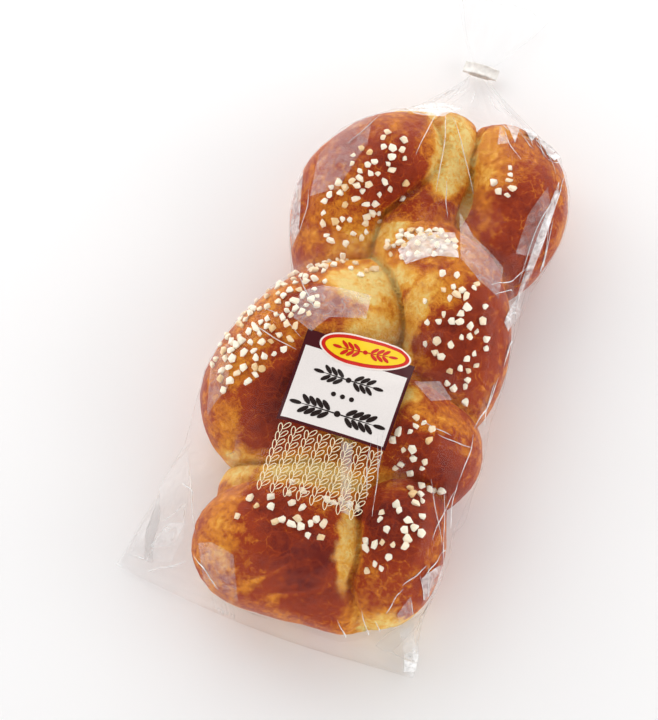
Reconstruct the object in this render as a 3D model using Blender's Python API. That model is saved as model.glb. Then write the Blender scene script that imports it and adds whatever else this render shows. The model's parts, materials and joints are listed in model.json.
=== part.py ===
"""A plaited brioche with pearl sugar, shut in a clear bag whose neck is held by a folded strip clip.

The bag clings to the loaf, so the bag and what it holds are one solid. Its skin is lofted in rings:
from the flat bottom seam, over the plaited loaf, along the gathered neck and out to the open tail.
Sizes are in millimetres, +Y runs along the loaf to the neck, and z = 0 is the surface it lies on.
"""
import math
import random

import bmesh
import bpy
import numpy as np
from mathutils import Matrix, Vector
from mathutils.bvhtree import BVHTree

MM = 0.001

# The plait. A lobe is the part of a strand that shows on top, and each strand takes every third lobe.
# rise: where the strand comes up. crest: its top point, with its height. outer: where it turns down.
LOBES = (
    {"rise": (33, 152), "crest": (50, 134, 44), "outer": (50, 104), "girth": 30},
    {"rise": (-14, 142), "crest": (-38, 122, 48), "outer": (-50, 90), "girth": 33},
    {"rise": (-3, 80), "crest": (30, 52, 52), "outer": (43, 10), "girth": 34},
    {"rise": (-8, 38), "crest": (-41, 4, 50), "outer": (-58, -44), "girth": 36},
    {"rise": (14, -26), "crest": (34, -36, 49), "outer": (46, -50), "girth": 31},
    {"rise": (10, -112), "crest": (-10, -120, 44), "outer": (-30, -131), "girth": 36},
    {"rise": (32, -76), "crest": (46, -96, 46), "outer": (48, -120), "girth": 29},
)
STRANDS = 3
OUTER_Z = 38
DIVE_Z = 28
RISE_Z = 40
# Where the strands' ends are tucked in: x, y, z, girth.
TOP_TUCKS = ((22, 140, 28, 28), (-8, 146, 28, 28), (-4, 150, 40, 26))
BOTTOM_TUCKS = ((34, -132, 28, 26), (-34, -100, 28, 30), (26, -132, 28, 30))
STRAND_FLAT = 0.86
STRAND_SAMPLES = 14
# The dough that fills the loaf between its strands.
CORE_HALF_LENGTH = 118
CORE_GIRTH = 44
CORE_Z = 22
CORE_FLAT = 1.4
SOFT_JOIN = 3.0

# The film's bridge over the hollows between the lobes, where the bag is printed.
BRIDGE_CENTRE = (-4, -60, 40)
BRIDGE_HALF = (38, 56, 37)
BRIDGE_CROWN = 4
BRIDGE_ROUND = 9

# The bag's free edges beside the loaf. station: the ring that the point belongs to.
RIGHT_EDGE = (
    {"station": -161, "at": (80, -156, 2)},
    {"station": -122, "at": (74, -122, 5)},
    {"station": -83, "at": (82, -83, 9)},
    {"station": -9, "at": (75, -9, 14)},
    {"station": 60, "at": (73, 60, 15)},
    {"station": 133, "at": (77, 133, 18)},
    {"station": 172, "at": (62, 172, 22)},
)
LEFT_EDGE = (
    {"station": -161, "at": (-108, -149, 1.5)},
    {"station": -116, "at": (-104, -114, 3)},
    {"station": -74, "at": (-101, -74, 9)},
    {"station": -42, "at": (-96, -42, 18)},
    {"station": -16, "at": (-90, -16, 30)},
)
# The flat bottom seam: its two corners and its middle, which curves out past the loaf's end.
SEAM_CORNERS = ((80, -166), (-110, -158))
SEAM_BOW = 6
SEAM_THICK = 1.4
SEAM_CRUMPLE = 5

# The gathered neck, its clip and the open tail.
NECK_X = -3
NECK_Y = 231
NECK_Z = 7
NECK_HALF_WIDTH = 6
NECK_HALF_THICK = 1.3
NECK_HALF_LENGTH = 4.6
PLEAT_EVERY = 4
PLEAT_DEPTH = 0.2
TAIL_END = 284
TAIL_HALF_WIDTH = 33
TAIL_HALF_THICK = 1.0
TAIL_Z = 6.5
TAIL_WAVE = 3.2
CLIP_WIDTH = 8
# The clip's strip is folded round the neck. Half its outline, from one end to the middle: x, z.
CLIP_OUTER = ((11.5, 0.55), (8.0, 0.7), (6.2, 1.9), (3.0, 2.25))
CLIP_INNER = ((7.2, 0.3), (6.4, 1.05), (5.0, 1.5), (2.5, 1.75))

# The skin's rings. Their rays start on a spine inside the loaf.
FOOT_STATIONS = (-161, -156, -149, -140, -131, -123)
BODY_STATIONS = np.linspace(-115, 118, 34)
HEAD_STATIONS = (126, 134, 142, 150, 158, 165, 172)
SEAM_RINGS = 3
CONE_RINGS = 8
TAIL_RINGS = 7
SPINE_Z = 30
SPINE_END_Z = 20
RAY_REACH = 130
RAY_STEPS = 66
UPPER_SEGMENTS = 38
LOWER_SEGMENTS = 8
UPPER_SPREAD = math.radians(204)

# Pearl sugar. Each cluster is an ellipse on a lobe: centre, half sizes, turn in degrees, nibs.
NIB_CLUSTERS = (
    {"centre": (-36, 100), "half": (42, 21), "turn": 72, "nibs": 24},
    {"centre": (41, 128), "half": (12, 9), "turn": 90, "nibs": 4},
    {"centre": (4, 73), "half": (23, 12), "turn": 10, "nibs": 13},
    {"centre": (42, 26), "half": (42, 19), "turn": -67, "nibs": 22},
    {"centre": (-62, -8), "half": (52, 22), "turn": 72, "nibs": 36},
    {"centre": (45, -56), "half": (24, 15), "turn": -50, "nibs": 12},
    {"centre": (47, -101), "half": (32, 15), "turn": 80, "nibs": 14},
    {"centre": (-13, -116), "half": (26, 8), "turn": -8, "nibs": 10},
)
NIB_SIZE = (5.8, 5.0, 4.2)
NIB_UNEVEN = 0.26
NIB_GAP = 6.0
NIB_STANDS_OUT = 0.12
NIB_SEED = 11

CRUST = (0.50, 0.17, 0.035, 1)
STRIP = (0.78, 0.75, 0.70, 1)


def smooth_path(knots, samples):
    """Points of a Catmull-Rom curve through the knots."""
    knots = np.array(knots, float)
    ends = np.vstack([2 * knots[0] - knots[1], knots, 2 * knots[-1] - knots[-2]])
    t = np.linspace(0, 1, samples, endpoint=False)[:, None]
    runs = []
    for a, b, c, d in zip(ends, ends[1:], ends[2:], ends[3:]):
        runs.append(0.5 * (2 * b + (c - a) * t + (2 * a - 5 * b + 4 * c - d) * t**2
                           + (3 * b - a - 3 * c + d) * t**3))
    return np.vstack([*runs, knots[-1:]])


def strand_points(first):
    """Centre line and girth of the strand that starts at lobe `first`: x, y, z, girth."""
    knots = [TOP_TUCKS[first]]
    lobes = LOBES[first::STRANDS]
    for number, lobe in enumerate(lobes):
        girth = lobe["girth"]
        knots.append((*lobe["rise"], RISE_Z, girth))
        knots.append((*lobe["crest"], girth))
        knots.append((*lobe["outer"], OUTER_Z, girth))
        if number + 1 < len(lobes):
            outer_x, outer_y = lobe["outer"]
            _, next_y = lobes[number + 1]["rise"]
            knots.append((0.45 * outer_x, 0.45 * outer_y + 0.55 * next_y, DIVE_Z, 0.9 * girth))
    return smooth_path([*knots, BOTTOM_TUCKS[first]], STRAND_SAMPLES)


def strand_distance(points, strand):
    away = points[:, None, :] - strand[None, :, :3]
    away[:, :, 2] /= STRAND_FLAT
    return (np.sqrt((away**2).sum(2)) - strand[None, :, 3]).min(1)


def core_distance(points):
    away = points.copy()
    away[:, 1] -= np.clip(points[:, 1], -CORE_HALF_LENGTH, CORE_HALF_LENGTH)
    away[:, 2] = CORE_FLAT * (points[:, 2] - CORE_Z)
    return np.sqrt((away**2).sum(1)) - CORE_GIRTH


def bridge_distance(points):
    away = points - np.array(BRIDGE_CENTRE, float)
    across = (away[:, 0] / BRIDGE_HALF[0])**2 + (away[:, 1] / BRIDGE_HALF[1])**2
    away[:, 2] += BRIDGE_CROWN * across
    past = np.abs(away) - (np.array(BRIDGE_HALF, float) - BRIDGE_ROUND)
    return np.sqrt((np.maximum(past, 0)**2).sum(1)) + np.minimum(past.max(1), 0) - BRIDGE_ROUND


def skin_field(points, strands):
    """Below zero inside the filled bag, about millimetres away from it outside."""
    distances = [strand_distance(points, strand) for strand in strands]
    distances += [core_distance(points), bridge_distance(points)]
    total = sum(np.exp(-np.clip(distance, -60, 90) / SOFT_JOIN) for distance in distances)
    return -SOFT_JOIN * np.log(total)


def ring_angles():
    """Angles round a ring from the right, over the top: close together above, far apart below."""
    start = (math.pi - UPPER_SPREAD) / 2
    upper = np.linspace(start, start + UPPER_SPREAD, UPPER_SEGMENTS, endpoint=False)
    lower = np.linspace(start + UPPER_SPREAD, start + 2 * math.pi, LOWER_SEGMENTS, endpoint=False)
    return np.concatenate([upper, lower])


def cast(origin, directions, strands):
    """Where each ray leaves the filled bag for good, or meets the flat base."""
    reach = np.linspace(0, RAY_REACH, RAY_STEPS)
    values = np.stack([skin_field(origin + directions * r, strands) for r in reach], 1)
    inside = values < 0
    last = RAY_STEPS - 1 - np.argmax(inside[:, ::-1], axis=1)
    last = np.where(inside.any(1), np.minimum(last, RAY_STEPS - 2), 0)
    rows = np.arange(len(directions))
    a, b = values[rows, last], values[rows, last + 1]
    out = reach[last] + (reach[1] - reach[0]) * np.clip(a / (a - b), 0, 1)
    down = np.minimum(directions[:, 2], -1e-6)
    base = np.where(directions[:, 2] < 0, origin[2] / -down, 10 * RAY_REACH)
    return origin + directions * np.minimum(out, base)[:, None]


def edge_at(edge, station):
    """The free edge's point for a ring, or None where the film clings to the loaf."""
    stations = [point["station"] for point in edge]
    if not stations[0] <= station <= stations[-1]:
        return None
    return np.array([np.interp(station, stations, [point["at"][axis] for point in edge])
                     for axis in range(3)])


def draw_taut(ring, tip, order):
    """Film straight from its free edge to where it touches the loaf. order: ring places upwards."""
    above = [i for i in order if ring[i][2] > tip[2] + 1]
    leans = [math.atan2(ring[i][2] - tip[2], abs(tip[0]) - abs(ring[i][0])) for i in above]
    touch = order.index(above[int(np.argmax(leans))])
    target = ring[order[touch]].copy()
    for step in range(touch):
        ring[order[step]] = tip + (target - tip) * step / touch


def body_ring(station, strands, angles):
    """One ring across the filled bag."""
    stations = (FOOT_STATIONS[0], BODY_STATIONS[0], BODY_STATIONS[-1], HEAD_STATIONS[-1])
    spine_z = np.interp(station, stations, (SPINE_END_Z, SPINE_Z, SPINE_Z, SPINE_END_Z))
    directions = np.stack([np.cos(angles), np.zeros(len(angles)), np.sin(angles)], 1)
    ring = cast(np.array([0.0, station, spine_z]), directions, strands)
    quarter = UPPER_SEGMENTS // 2
    right, left = edge_at(RIGHT_EDGE, station), edge_at(LEFT_EDGE, station)
    if right is not None:
        draw_taut(ring, right, list(range(quarter)))
    if left is not None:
        draw_taut(ring, left, list(range(UPPER_SEGMENTS, quarter, -1)))
    return ring


def seam_ring(angles):
    """The bag's closed foot, flat on the surface and a little crumpled."""
    (right_x, right_y), (left_x, left_y) = SEAM_CORNERS
    count = len(angles)
    ring = np.zeros((count, 3))
    for i in range(count):
        on_top = i <= UPPER_SEGMENTS
        back = UPPER_SEGMENTS if on_top else count - UPPER_SEGMENTS
        t = i / back if on_top else (count - i) / back
        crumple = SEAM_CRUMPLE * max(0.0, math.sin(9 * t)) * (1 - t)**2
        ring[i] = (right_x + (left_x - right_x) * t,
                   right_y + (left_y - right_y) * t - SEAM_BOW * math.sin(math.pi * t),
                   SEAM_THICK + crumple if on_top else 0.0)
    return ring


def gathered_ring(count, y, half_width, half_thick, z, wave):
    """A flat ring of gathered film, with pleats and a wave across it."""
    ring = np.zeros((count, 3))
    for i in range(count):
        turn = 2 * math.pi * i / count
        pleat = 1 - PLEAT_DEPTH * (1 + math.cos(2 * math.pi * i / PLEAT_EVERY)) / 2
        across = half_width * math.cos(turn) * pleat
        lift = wave * math.sin(4.2 * across / TAIL_HALF_WIDTH + 0.6)
        ring[i] = (NECK_X + across, y, z + lift + half_thick * math.sin(turn) * pleat)
    return ring


def skin_rings():
    """Every ring of the bag's skin, from the bottom seam to the end of the tail."""
    strands = [strand_points(first) for first in range(STRANDS)]
    angles = ring_angles()
    count = len(angles)
    stations = [*FOOT_STATIONS, *BODY_STATIONS, *HEAD_STATIONS]
    body = [body_ring(station, strands, angles) for station in stations]
    seam = seam_ring(angles)
    rings = [seam]
    for step in range(1, SEAM_RINGS):
        t = step / SEAM_RINGS
        ring = seam + (body[0] - seam) * t
        ring[:, 2] = seam[:, 2] + (body[0][:, 2] - seam[:, 2]) * math.sin(math.pi / 2 * t)
        rings.append(ring)
    rings += body
    neck = gathered_ring(count, NECK_Y - NECK_HALF_LENGTH, NECK_HALF_WIDTH, NECK_HALF_THICK, NECK_Z, 0)
    for step in range(1, CONE_RINGS):
        t = step / CONE_RINGS
        ring = body[-1] + (neck - body[-1]) * t
        middle = ring.mean(0)
        for i in range(count):
            fold = 1 - PLEAT_DEPTH * t * (1 - t) * (1 + math.cos(2 * math.pi * i / PLEAT_EVERY))
            ring[i] = middle + (ring[i] - middle) * (fold, 1, fold)
        ring[:, 2] = np.maximum(ring[:, 2], 0)
        rings.append(ring)
    rings.append(neck)
    for step in range(TAIL_RINGS):
        t = step / (TAIL_RINGS - 1)
        y = NECK_Y + NECK_HALF_LENGTH + t * (TAIL_END - NECK_Y - NECK_HALF_LENGTH)
        half_width = NECK_HALF_WIDTH + (TAIL_HALF_WIDTH - NECK_HALF_WIDTH) * t**0.8
        half_thick = NECK_HALF_THICK + (TAIL_HALF_THICK - NECK_HALF_THICK) * t
        rings.append(gathered_ring(count, y, half_width, half_thick,
                                   NECK_Z + (TAIL_Z - NECK_Z) * t, TAIL_WAVE * t))
    return rings


def material(name, colour, roughness, metallic=0.0):
    made = bpy.data.materials.new(name)
    made.use_nodes = True
    shader = made.node_tree.nodes["Principled BSDF"]
    shader.inputs["Base Color"].default_value = colour
    shader.inputs["Roughness"].default_value = roughness
    shader.inputs["Metallic"].default_value = metallic
    return made


def add_object(name, bm, finish):
    """A scene object from a bmesh in millimetres."""
    bmesh.ops.triangulate(bm, faces=bm.faces[:])
    bmesh.ops.recalc_face_normals(bm, faces=bm.faces[:])
    bmesh.ops.scale(bm, verts=bm.verts[:], vec=(MM, MM, MM))
    mesh = bpy.data.meshes.new(name)
    bm.to_mesh(mesh)
    bm.free()
    mesh.materials.append(finish)
    made = bpy.data.objects.new(name, mesh)
    bpy.context.scene.collection.objects.link(made)
    return made


def loft(rings, hollow=False):
    """A closed skin through the rings. Its ends are filled, or joined to each other round a hollow."""
    bm = bmesh.new()
    rows = [[bm.verts.new(point) for point in ring] for ring in rings]
    count = len(rows[0])
    for low, high in zip(rows, rows[1:] + rows[:1] if hollow else rows[1:]):
        for j in range(count):
            k = (j + 1) % count
            bm.faces.new((low[j], low[k], high[k], high[j]))
    if not hollow:
        bm.faces.new(rows[0])
        bm.faces.new(rows[-1])
    return bm


def nib_spots(rng):
    """Scattered places of the nibs, seen from above."""
    spots = []
    for cluster in NIB_CLUSTERS:
        turn = Matrix.Rotation(math.radians(cluster["turn"]), 2)
        for _ in range(cluster["nibs"]):
            for _ in range(60):
                radius, angle = math.sqrt(rng.random()), rng.uniform(0, 2 * math.pi)
                offset = turn @ Vector((cluster["half"][0] * radius * math.cos(angle),
                                        cluster["half"][1] * radius * math.sin(angle)))
                spot = Vector(cluster["centre"]) + offset
                if all((spot - other).length > NIB_GAP for other in spots):
                    spots.append(spot)
                    break
    return spots


def add_nibs(bm, finish):
    """Small uneven lumps of sugar, each sunk a little into the skin under it."""
    rng = random.Random(NIB_SEED)
    skin = BVHTree.FromBMesh(bm)
    nibs = bpy.data.collections.new("nibs")
    for number, spot in enumerate(nib_spots(rng)):
        point, normal, _, _ = skin.ray_cast(Vector((*spot, 200)), Vector((0, 0, -1)))
        lump = bmesh.new()
        bmesh.ops.create_cube(lump, size=1)
        for vert in lump.verts:
            vert.co *= 1 + rng.uniform(-NIB_UNEVEN, NIB_UNEVEN)
        scale = rng.uniform(0.8, 1.1)
        place = (Matrix.Translation(point + normal * NIB_STANDS_OUT * NIB_SIZE[2])
                 @ normal.to_track_quat("Z", "Y").to_matrix().to_4x4()
                 @ Matrix.Rotation(rng.uniform(0, math.pi), 4, "Z")
                 @ Matrix.Rotation(rng.uniform(-0.4, 0.4), 4, "X")
                 @ Matrix.Diagonal((*(scale * size for size in NIB_SIZE), 1)))
        bmesh.ops.transform(lump, matrix=place, verts=lump.verts[:])
        made = add_object(f"nib_{number}", lump, finish)
        bpy.context.scene.collection.objects.unlink(made)
        nibs.objects.link(made)
    return nibs


def join_nibs(bag, nibs):
    """One union of the bag with all its nibs, applied, after which the nibs' own objects go."""
    union = bag.modifiers.new("nibs", "BOOLEAN")
    union.operation = "UNION"
    union.operand_type = "COLLECTION"
    union.collection = nibs
    union.solver = "EXACT"
    bpy.context.scene.collection.children.link(nibs)
    evaluated = bag.evaluated_get(bpy.context.evaluated_depsgraph_get())
    joined = bpy.data.meshes.new_from_object(evaluated)
    bag.modifiers.remove(union)
    bag.data = joined
    for nib in list(nibs.objects):
        bpy.data.objects.remove(nib)
    bpy.data.collections.remove(nibs)


def make_bag():
    crust = material("egg_washed_crust_under_clear_film", CRUST, 0.35)
    bm = loft(skin_rings())
    bmesh.ops.recalc_face_normals(bm, faces=bm.faces[:])
    nibs = add_nibs(bm, crust)
    bag = add_object("bagged_brioche", bm, crust)
    join_nibs(bag, nibs)
    return bag


def strip_loop(quarter, y):
    """A closed outline across the clip, from the points in one quarter of it."""
    right_top = list(quarter)
    left_top = [(-x, z) for x, z in reversed(quarter)]
    left_low = [(-x, -z) for x, z in quarter]
    right_low = [(x, -z) for x, z in reversed(quarter)]
    return [(x, y, z) for x, z in right_top + left_top + left_low + right_low]


def make_clip():
    """A strip folded round the neck and pressed together at both ends."""
    half = CLIP_WIDTH / 2
    bm = loft([strip_loop(CLIP_OUTER, -half), strip_loop(CLIP_OUTER, half),
               strip_loop(CLIP_INNER, half), strip_loop(CLIP_INNER, -half)], hollow=True)
    clip = add_object("clip", bm, material("folded_plastic_strip", STRIP, 0.45))
    clip.location = (NECK_X * MM, NECK_Y * MM, NECK_Z * MM)
    return clip


def centre_on_origin(pieces):
    """Move the pieces so that the middle of the whole stands on the origin."""
    bpy.context.view_layer.update()
    corners = np.array([piece.matrix_world @ Vector(corner) for piece in pieces for corner in piece.bound_box])
    middle = (corners.min(0) + corners.max(0)) / 2
    for piece in pieces:
        piece.location -= Vector((middle[0], middle[1], 0))


def main():
    for old in list(bpy.data.objects):
        bpy.data.objects.remove(old)
    centre_on_origin([make_bag(), make_clip()])


main()
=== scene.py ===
"""Looks of a plaited brioche with pearl sugar in a clear film bag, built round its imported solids.

The plait, the film and the print are worked out in millimetres in the loaf's own frame, in which
+Y runs to the bag's neck and z = 0 is the floor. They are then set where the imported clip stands.
"""
import json
import math
import random

import bmesh
import bpy
import numpy as np
from bpy.props import FloatProperty, FloatVectorProperty, IntProperty, PointerProperty
from bpy.types import Operator, Panel, PropertyGroup
from mathutils import Matrix, Vector, noise
from mathutils.bvhtree import BVHTree
from mathutils.geometry import delaunay_2d_cdt

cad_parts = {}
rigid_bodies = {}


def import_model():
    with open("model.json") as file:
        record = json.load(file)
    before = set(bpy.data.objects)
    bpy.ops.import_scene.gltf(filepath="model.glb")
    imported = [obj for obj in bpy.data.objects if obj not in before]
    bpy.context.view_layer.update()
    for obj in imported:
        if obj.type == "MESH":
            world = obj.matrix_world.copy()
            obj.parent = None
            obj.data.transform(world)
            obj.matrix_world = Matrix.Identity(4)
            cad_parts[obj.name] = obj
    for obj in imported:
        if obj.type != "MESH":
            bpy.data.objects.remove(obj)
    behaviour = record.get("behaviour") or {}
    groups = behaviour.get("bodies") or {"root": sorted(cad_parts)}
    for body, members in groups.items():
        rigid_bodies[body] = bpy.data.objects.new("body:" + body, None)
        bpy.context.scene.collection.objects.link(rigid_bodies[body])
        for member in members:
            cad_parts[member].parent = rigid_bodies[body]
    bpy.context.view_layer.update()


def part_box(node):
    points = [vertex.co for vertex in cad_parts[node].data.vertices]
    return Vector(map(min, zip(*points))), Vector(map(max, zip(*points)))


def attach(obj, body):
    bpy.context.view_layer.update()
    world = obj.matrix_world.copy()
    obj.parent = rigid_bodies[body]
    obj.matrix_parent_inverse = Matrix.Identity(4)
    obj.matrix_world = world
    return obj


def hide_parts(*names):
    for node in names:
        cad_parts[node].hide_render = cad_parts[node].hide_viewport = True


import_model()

bl_info = {
    "name": "Bagged plaited brioche",
    "version": (1, 0, 0),
    "blender": (4, 5, 0),
    "location": "View3D > Sidebar > Brioche",
    "description": "Builds a plaited brioche with pearl sugar in a clear bag, with its print and its clip",
    "category": "Object",
}

MM = 0.001
WHITE = (1, 1, 1, 1)

# The plait. A lobe is the part of a strand that shows on top, and each strand takes every third lobe.
# rise: where the strand comes up. crest: its top point, with its height. outer: where it turns down.
# pale: how much of its rising end is stretched dough without egg wash.
LOBES = (
    {"rise": (33, 152), "crest": (50, 134, 44), "outer": (50, 104), "girth": 30, "pale": 0.5},
    {"rise": (-14, 142), "crest": (-38, 122, 48), "outer": (-50, 90), "girth": 33, "pale": 0.6},
    {"rise": (-3, 80), "crest": (30, 52, 52), "outer": (43, 10), "girth": 34, "pale": 0.7},
    {"rise": (-8, 38), "crest": (-41, 4, 50), "outer": (-58, -44), "girth": 36, "pale": 1.0},
    {"rise": (14, -26), "crest": (34, -36, 49), "outer": (46, -50), "girth": 31, "pale": 0.4},
    {"rise": (10, -112), "crest": (-10, -120, 44), "outer": (-30, -131), "girth": 36, "pale": 0.8},
    {"rise": (32, -76), "crest": (46, -96, 46), "outer": (48, -120), "girth": 29, "pale": 0.2},
)
STRANDS = 3
OUTER_Z = 38
DIVE_Z = 28
RISE_Z = 34
TOP_TUCKS = ((22, 140, 28, 28), (-8, 146, 28, 28), (-4, 150, 40, 26))
BOTTOM_TUCKS = ((34, -132, 28, 26), (-34, -100, 28, 30), (26, -132, 28, 30))
STRAND_FLAT = 0.86
STRAND_SAMPLES = 14
# Each strand has sagged on the baking tray: a second, lower row of dough under it.
FOOT_Z = 17
FOOT_HALF_HEIGHT = 18
FOOT_GIRTH = 0.88
CORE_HALF_LENGTH = 118
CORE_GIRTH = 44
CORE_Z = 22
CORE_FLAT = 1.4
LOAF_FLOOR = 0.8
BALL_SEGMENTS = 28
BALL_RINGS = 18
# Noise in the crust, by the size of its features: broad tones, blotches and fine mottling.
BROAD_TONE = 34
BLOTCH = 11
FINE_TONE = 4.5
# How baked the crust is, 0 to 1, and what broad tones, blotches and fine mottling add to that.
BAKE_EVEN = 0.54
BAKE_TONES = (0.14, 0.10, 0.06)
# How much paler it is between two strands, where a strand rises, low down, and on the core.
SEAM_PALING, RISING_PALING, LOW_PALING, CORE_PALING = 0.20, 0.34, 0.14, 0.4
# How far above and below its own height a pale patch reaches.
PALE_DEPTH = 26
# How far a crease between two strands reaches, how far a crack does, and how a crack pales the crust.
GAP_REACH = 1.6
CRACK_REACH = 1.5
CRACK_PALING = 0.28125
# A height above everything, from which rays look down on the crust and the film.
ABOVE_ALL = 200

# Dough that the neighbouring strand covered as it rose, so that it has neither egg wash nor colour:
# centre, half sizes, turn in degrees, height, how far it baked, and how far it tore open to the crumb.
PALE_PATCHES = (
    {"centre": (2, 142), "half": (14, 36), "turn": 8, "z": 58, "bake": 0.08, "torn": 1.0},
    {"centre": (-30, 166), "half": (22, 8), "turn": 20, "z": 44, "bake": 0.10, "torn": 0.7},
    {"centre": (-30, 66), "half": (22, 7), "turn": 16, "z": 58, "bake": 0.30, "torn": 0.3},
    {"centre": (-16, 38), "half": (32, 17), "turn": 22, "z": 70, "bake": 0.05, "torn": 0.15},
    {"centre": (-2, 6), "half": (22, 18), "turn": 10, "z": 68, "bake": 0.12, "torn": 0.3},
    {"centre": (17, 28), "half": (8, 38), "turn": -4, "z": 66, "bake": 0.20, "torn": 0.25},
    {"centre": (-56, -90), "half": (20, 12), "turn": 8, "z": 40, "bake": 0.20, "torn": 0.2},
    {"centre": (-12, -84), "half": (34, 13), "turn": 6, "z": 56, "bake": 0.10, "torn": 0.3},
    {"centre": (23, -118), "half": (6, 30), "turn": 12, "z": 56, "bake": 0.22, "torn": 0.55},
    {"centre": (56, -141), "half": (24, 13), "turn": 36, "z": 26, "bake": 0.10, "torn": 0.8},
    {"centre": (26, -26), "half": (12, 12), "turn": 12, "z": 62, "bake": 0.16, "torn": 0.3},
    {"centre": (-2, -26), "half": (16, 14), "turn": 0, "z": 60, "bake": 0.10, "torn": 0.6},
)
# Where the crust is darker or lighter: centre, half sizes, turn in degrees, how much. Partly real browning,
# partly painted light: the darker patches lie mostly on the lobes' right sides, away from the lights, as
# painted shade, and the lighter ones on the left flanks are partly a painted version of the film's hazy
# reflection.
BAKE_AND_PAINTED_LIGHT_PATCHES = (
    {"centre": (-20, 106), "half": (14, 28), "turn": -30, "more": 0.22},
    {"centre": (-40, 122), "half": (24, 26), "turn": 0, "more": 0.06},
    {"centre": (56, 104), "half": (20, 36), "turn": 0, "more": 0.24},
    {"centre": (50, 22), "half": (22, 42), "turn": -12, "more": 0.28},
    {"centre": (-42, -48), "half": (20, 34), "turn": -16, "more": 0.36},
    {"centre": (52, -58), "half": (26, 20), "turn": -20, "more": 0.38},
    {"centre": (46, -100), "half": (20, 26), "turn": 0, "more": 0.44},
    {"centre": (4, -138), "half": (30, 22), "turn": -18, "more": 0.42},
    {"centre": (-26, -116), "half": (18, 12), "turn": 10, "more": 0.24},
    {"centre": (-48, -134), "half": (15, 26), "turn": 10, "more": -0.10},
    {"centre": (-62, -74), "half": (16, 18), "turn": 0, "more": -0.12},
    {"centre": (-70, -14), "half": (17, 46), "turn": -10, "more": -0.12},
    {"centre": (-30, 80), "half": (22, 9), "turn": 20, "more": -0.16},
    {"centre": (24, 138), "half": (8, 24), "turn": 0, "more": -0.16},
    {"centre": (10, 72), "half": (18, 14), "turn": 0, "more": -0.30},
    {"centre": (30, 44), "half": (10, 24), "turn": -10, "more": -0.12},
    {"centre": (62, -132), "half": (10, 12), "turn": 0, "more": -0.10},
    {"centre": (44, -34), "half": (20, 7), "turn": 10, "more": -0.14},
)
# Long cracks in the crust: a row of points, and how deep they are.
CRACKS = (
    {"points": ((-32, -166), (-20, -156), (-6, -145), (6, -136)), "depth": 0.7},
    {"points": ((-38, -124), (-18, -122), (0, -128)), "depth": 0.5},
    {"points": ((-10, -160), (8, -152), (20, -146)), "depth": 0.6},
    {"points": ((40, 60), (62, 44), (72, 20)), "depth": 0.4},
)

# Pearl sugar. Each cluster is an ellipse on a lobe: centre, half sizes, turn in degrees, nibs.
NIB_CLUSTERS = (
    {"centre": (-38, 98), "half": (42, 20), "turn": 72, "nibs": 56},
    {"centre": (40, 128), "half": (11, 8), "turn": 90, "nibs": 7},
    {"centre": (5, 72), "half": (22, 12), "turn": 14, "nibs": 34},
    {"centre": (42, 24), "half": (42, 19), "turn": -67, "nibs": 42},
    {"centre": (-64, -6), "half": (50, 21), "turn": 72, "nibs": 96},
    {"centre": (-36, 44), "half": (20, 12), "turn": 10, "nibs": 14},
    {"centre": (45, -56), "half": (24, 15), "turn": -50, "nibs": 20},
    {"centre": (47, -101), "half": (32, 14), "turn": 80, "nibs": 26},
    {"centre": (-13, -116), "half": (26, 8), "turn": -8, "nibs": 16},
    {"centre": (-6, -98), "half": (30, 6), "turn": 0, "nibs": 8},
    {"centre": (-42, -123), "half": (3, 3), "turn": 0, "nibs": 1},
)

# A nib: how many corners it has, how far they reach, and its widths and heights per length.
NIB_CORNERS = 20
NIB_REACH = (0.40, 0.56)
NIB_WIDTHS = (0.62, 0.88)
NIB_HEIGHTS = (0.52, 0.76)
NIB_SHAPES = 9
NIB_SIZES = (0.70, 1.12)
# How many tries each nib has to find a place, and how level the crust has to be there.
NIB_TRIES = 60
NIB_LEAST_UP = 0.2

# The film's bridge over the hollows between the lobes, where the bag is printed.
BRIDGE_CENTRE = (-4, -60, 40)
BRIDGE_HALF = (38, 56, 37)
BRIDGE_CROWN = 4
BRIDGE_ROUND = 9
# The rings of film across the loaf, in three runs: from which station to which, and how many rings.
BODY_START, BODY_LOW, BODY_HIGH, BODY_END = -161, -115, 118, 172
BODY_RINGS = (30, 128, 32)
# The bag's free edges beside the loaf. station: the ring that the point belongs to.
RIGHT_EDGE = (
    {"station": BODY_START, "at": (80, -156, 2)},
    {"station": -122, "at": (74, -122, 5)},
    {"station": -83, "at": (82, -83, 9)},
    {"station": -9, "at": (75, -9, 14)},
    {"station": 60, "at": (73, 60, 15)},
    {"station": 133, "at": (77, 133, 18)},
    {"station": BODY_END, "at": (62, 172, 22)},
)
LEFT_EDGE = (
    {"station": BODY_START, "at": (-108, -149, 1.5)},
    {"station": -116, "at": (-104, -114, 3)},
    {"station": -74, "at": (-101, -74, 9)},
    {"station": -42, "at": (-96, -42, 18)},
    {"station": -16, "at": (-90, -16, 30)},
)
SEAM_CORNERS = ((80, -166), (-110, -158))
SEAM_BOW = 6
SEAM_THICK = 1.2
SEAM_CRUMPLE = 5
SEAM_CRUMPLES = 9
SEAM_RIPPLE = 0.5
SEAM_RIPPLES = 41
SEAM_RINGS = 10
NECK_X = -3
NECK_Y = 231
NECK_Z = 7
NECK_HALF_WIDTH = 6
NECK_HALF_THICK = 1.2
NECK_HALF_LENGTH = 4.6
TAIL_END = 284
TAIL_HALF_WIDTH = 33
TAIL_HALF_THICK = 1.0
TAIL_Z = 6.5
TAIL_WAVE = 3.0
# Across the tail: one long wave that starts a little way in, and short ones half as high.
TAIL_LONG_WAVE = 4.2
TAIL_WAVE_START = 0.6
TAIL_SHORT_WAVE = 15
# How many steps of film the gathered cone and the open tail have.
CONE_RINGS = 30
TAIL_RINGS = 28
UPPER_COUNT = 204
LOWER_COUNT = 36
RING_SPREAD = math.radians(204)
PLEAT_EVERY = 16
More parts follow.
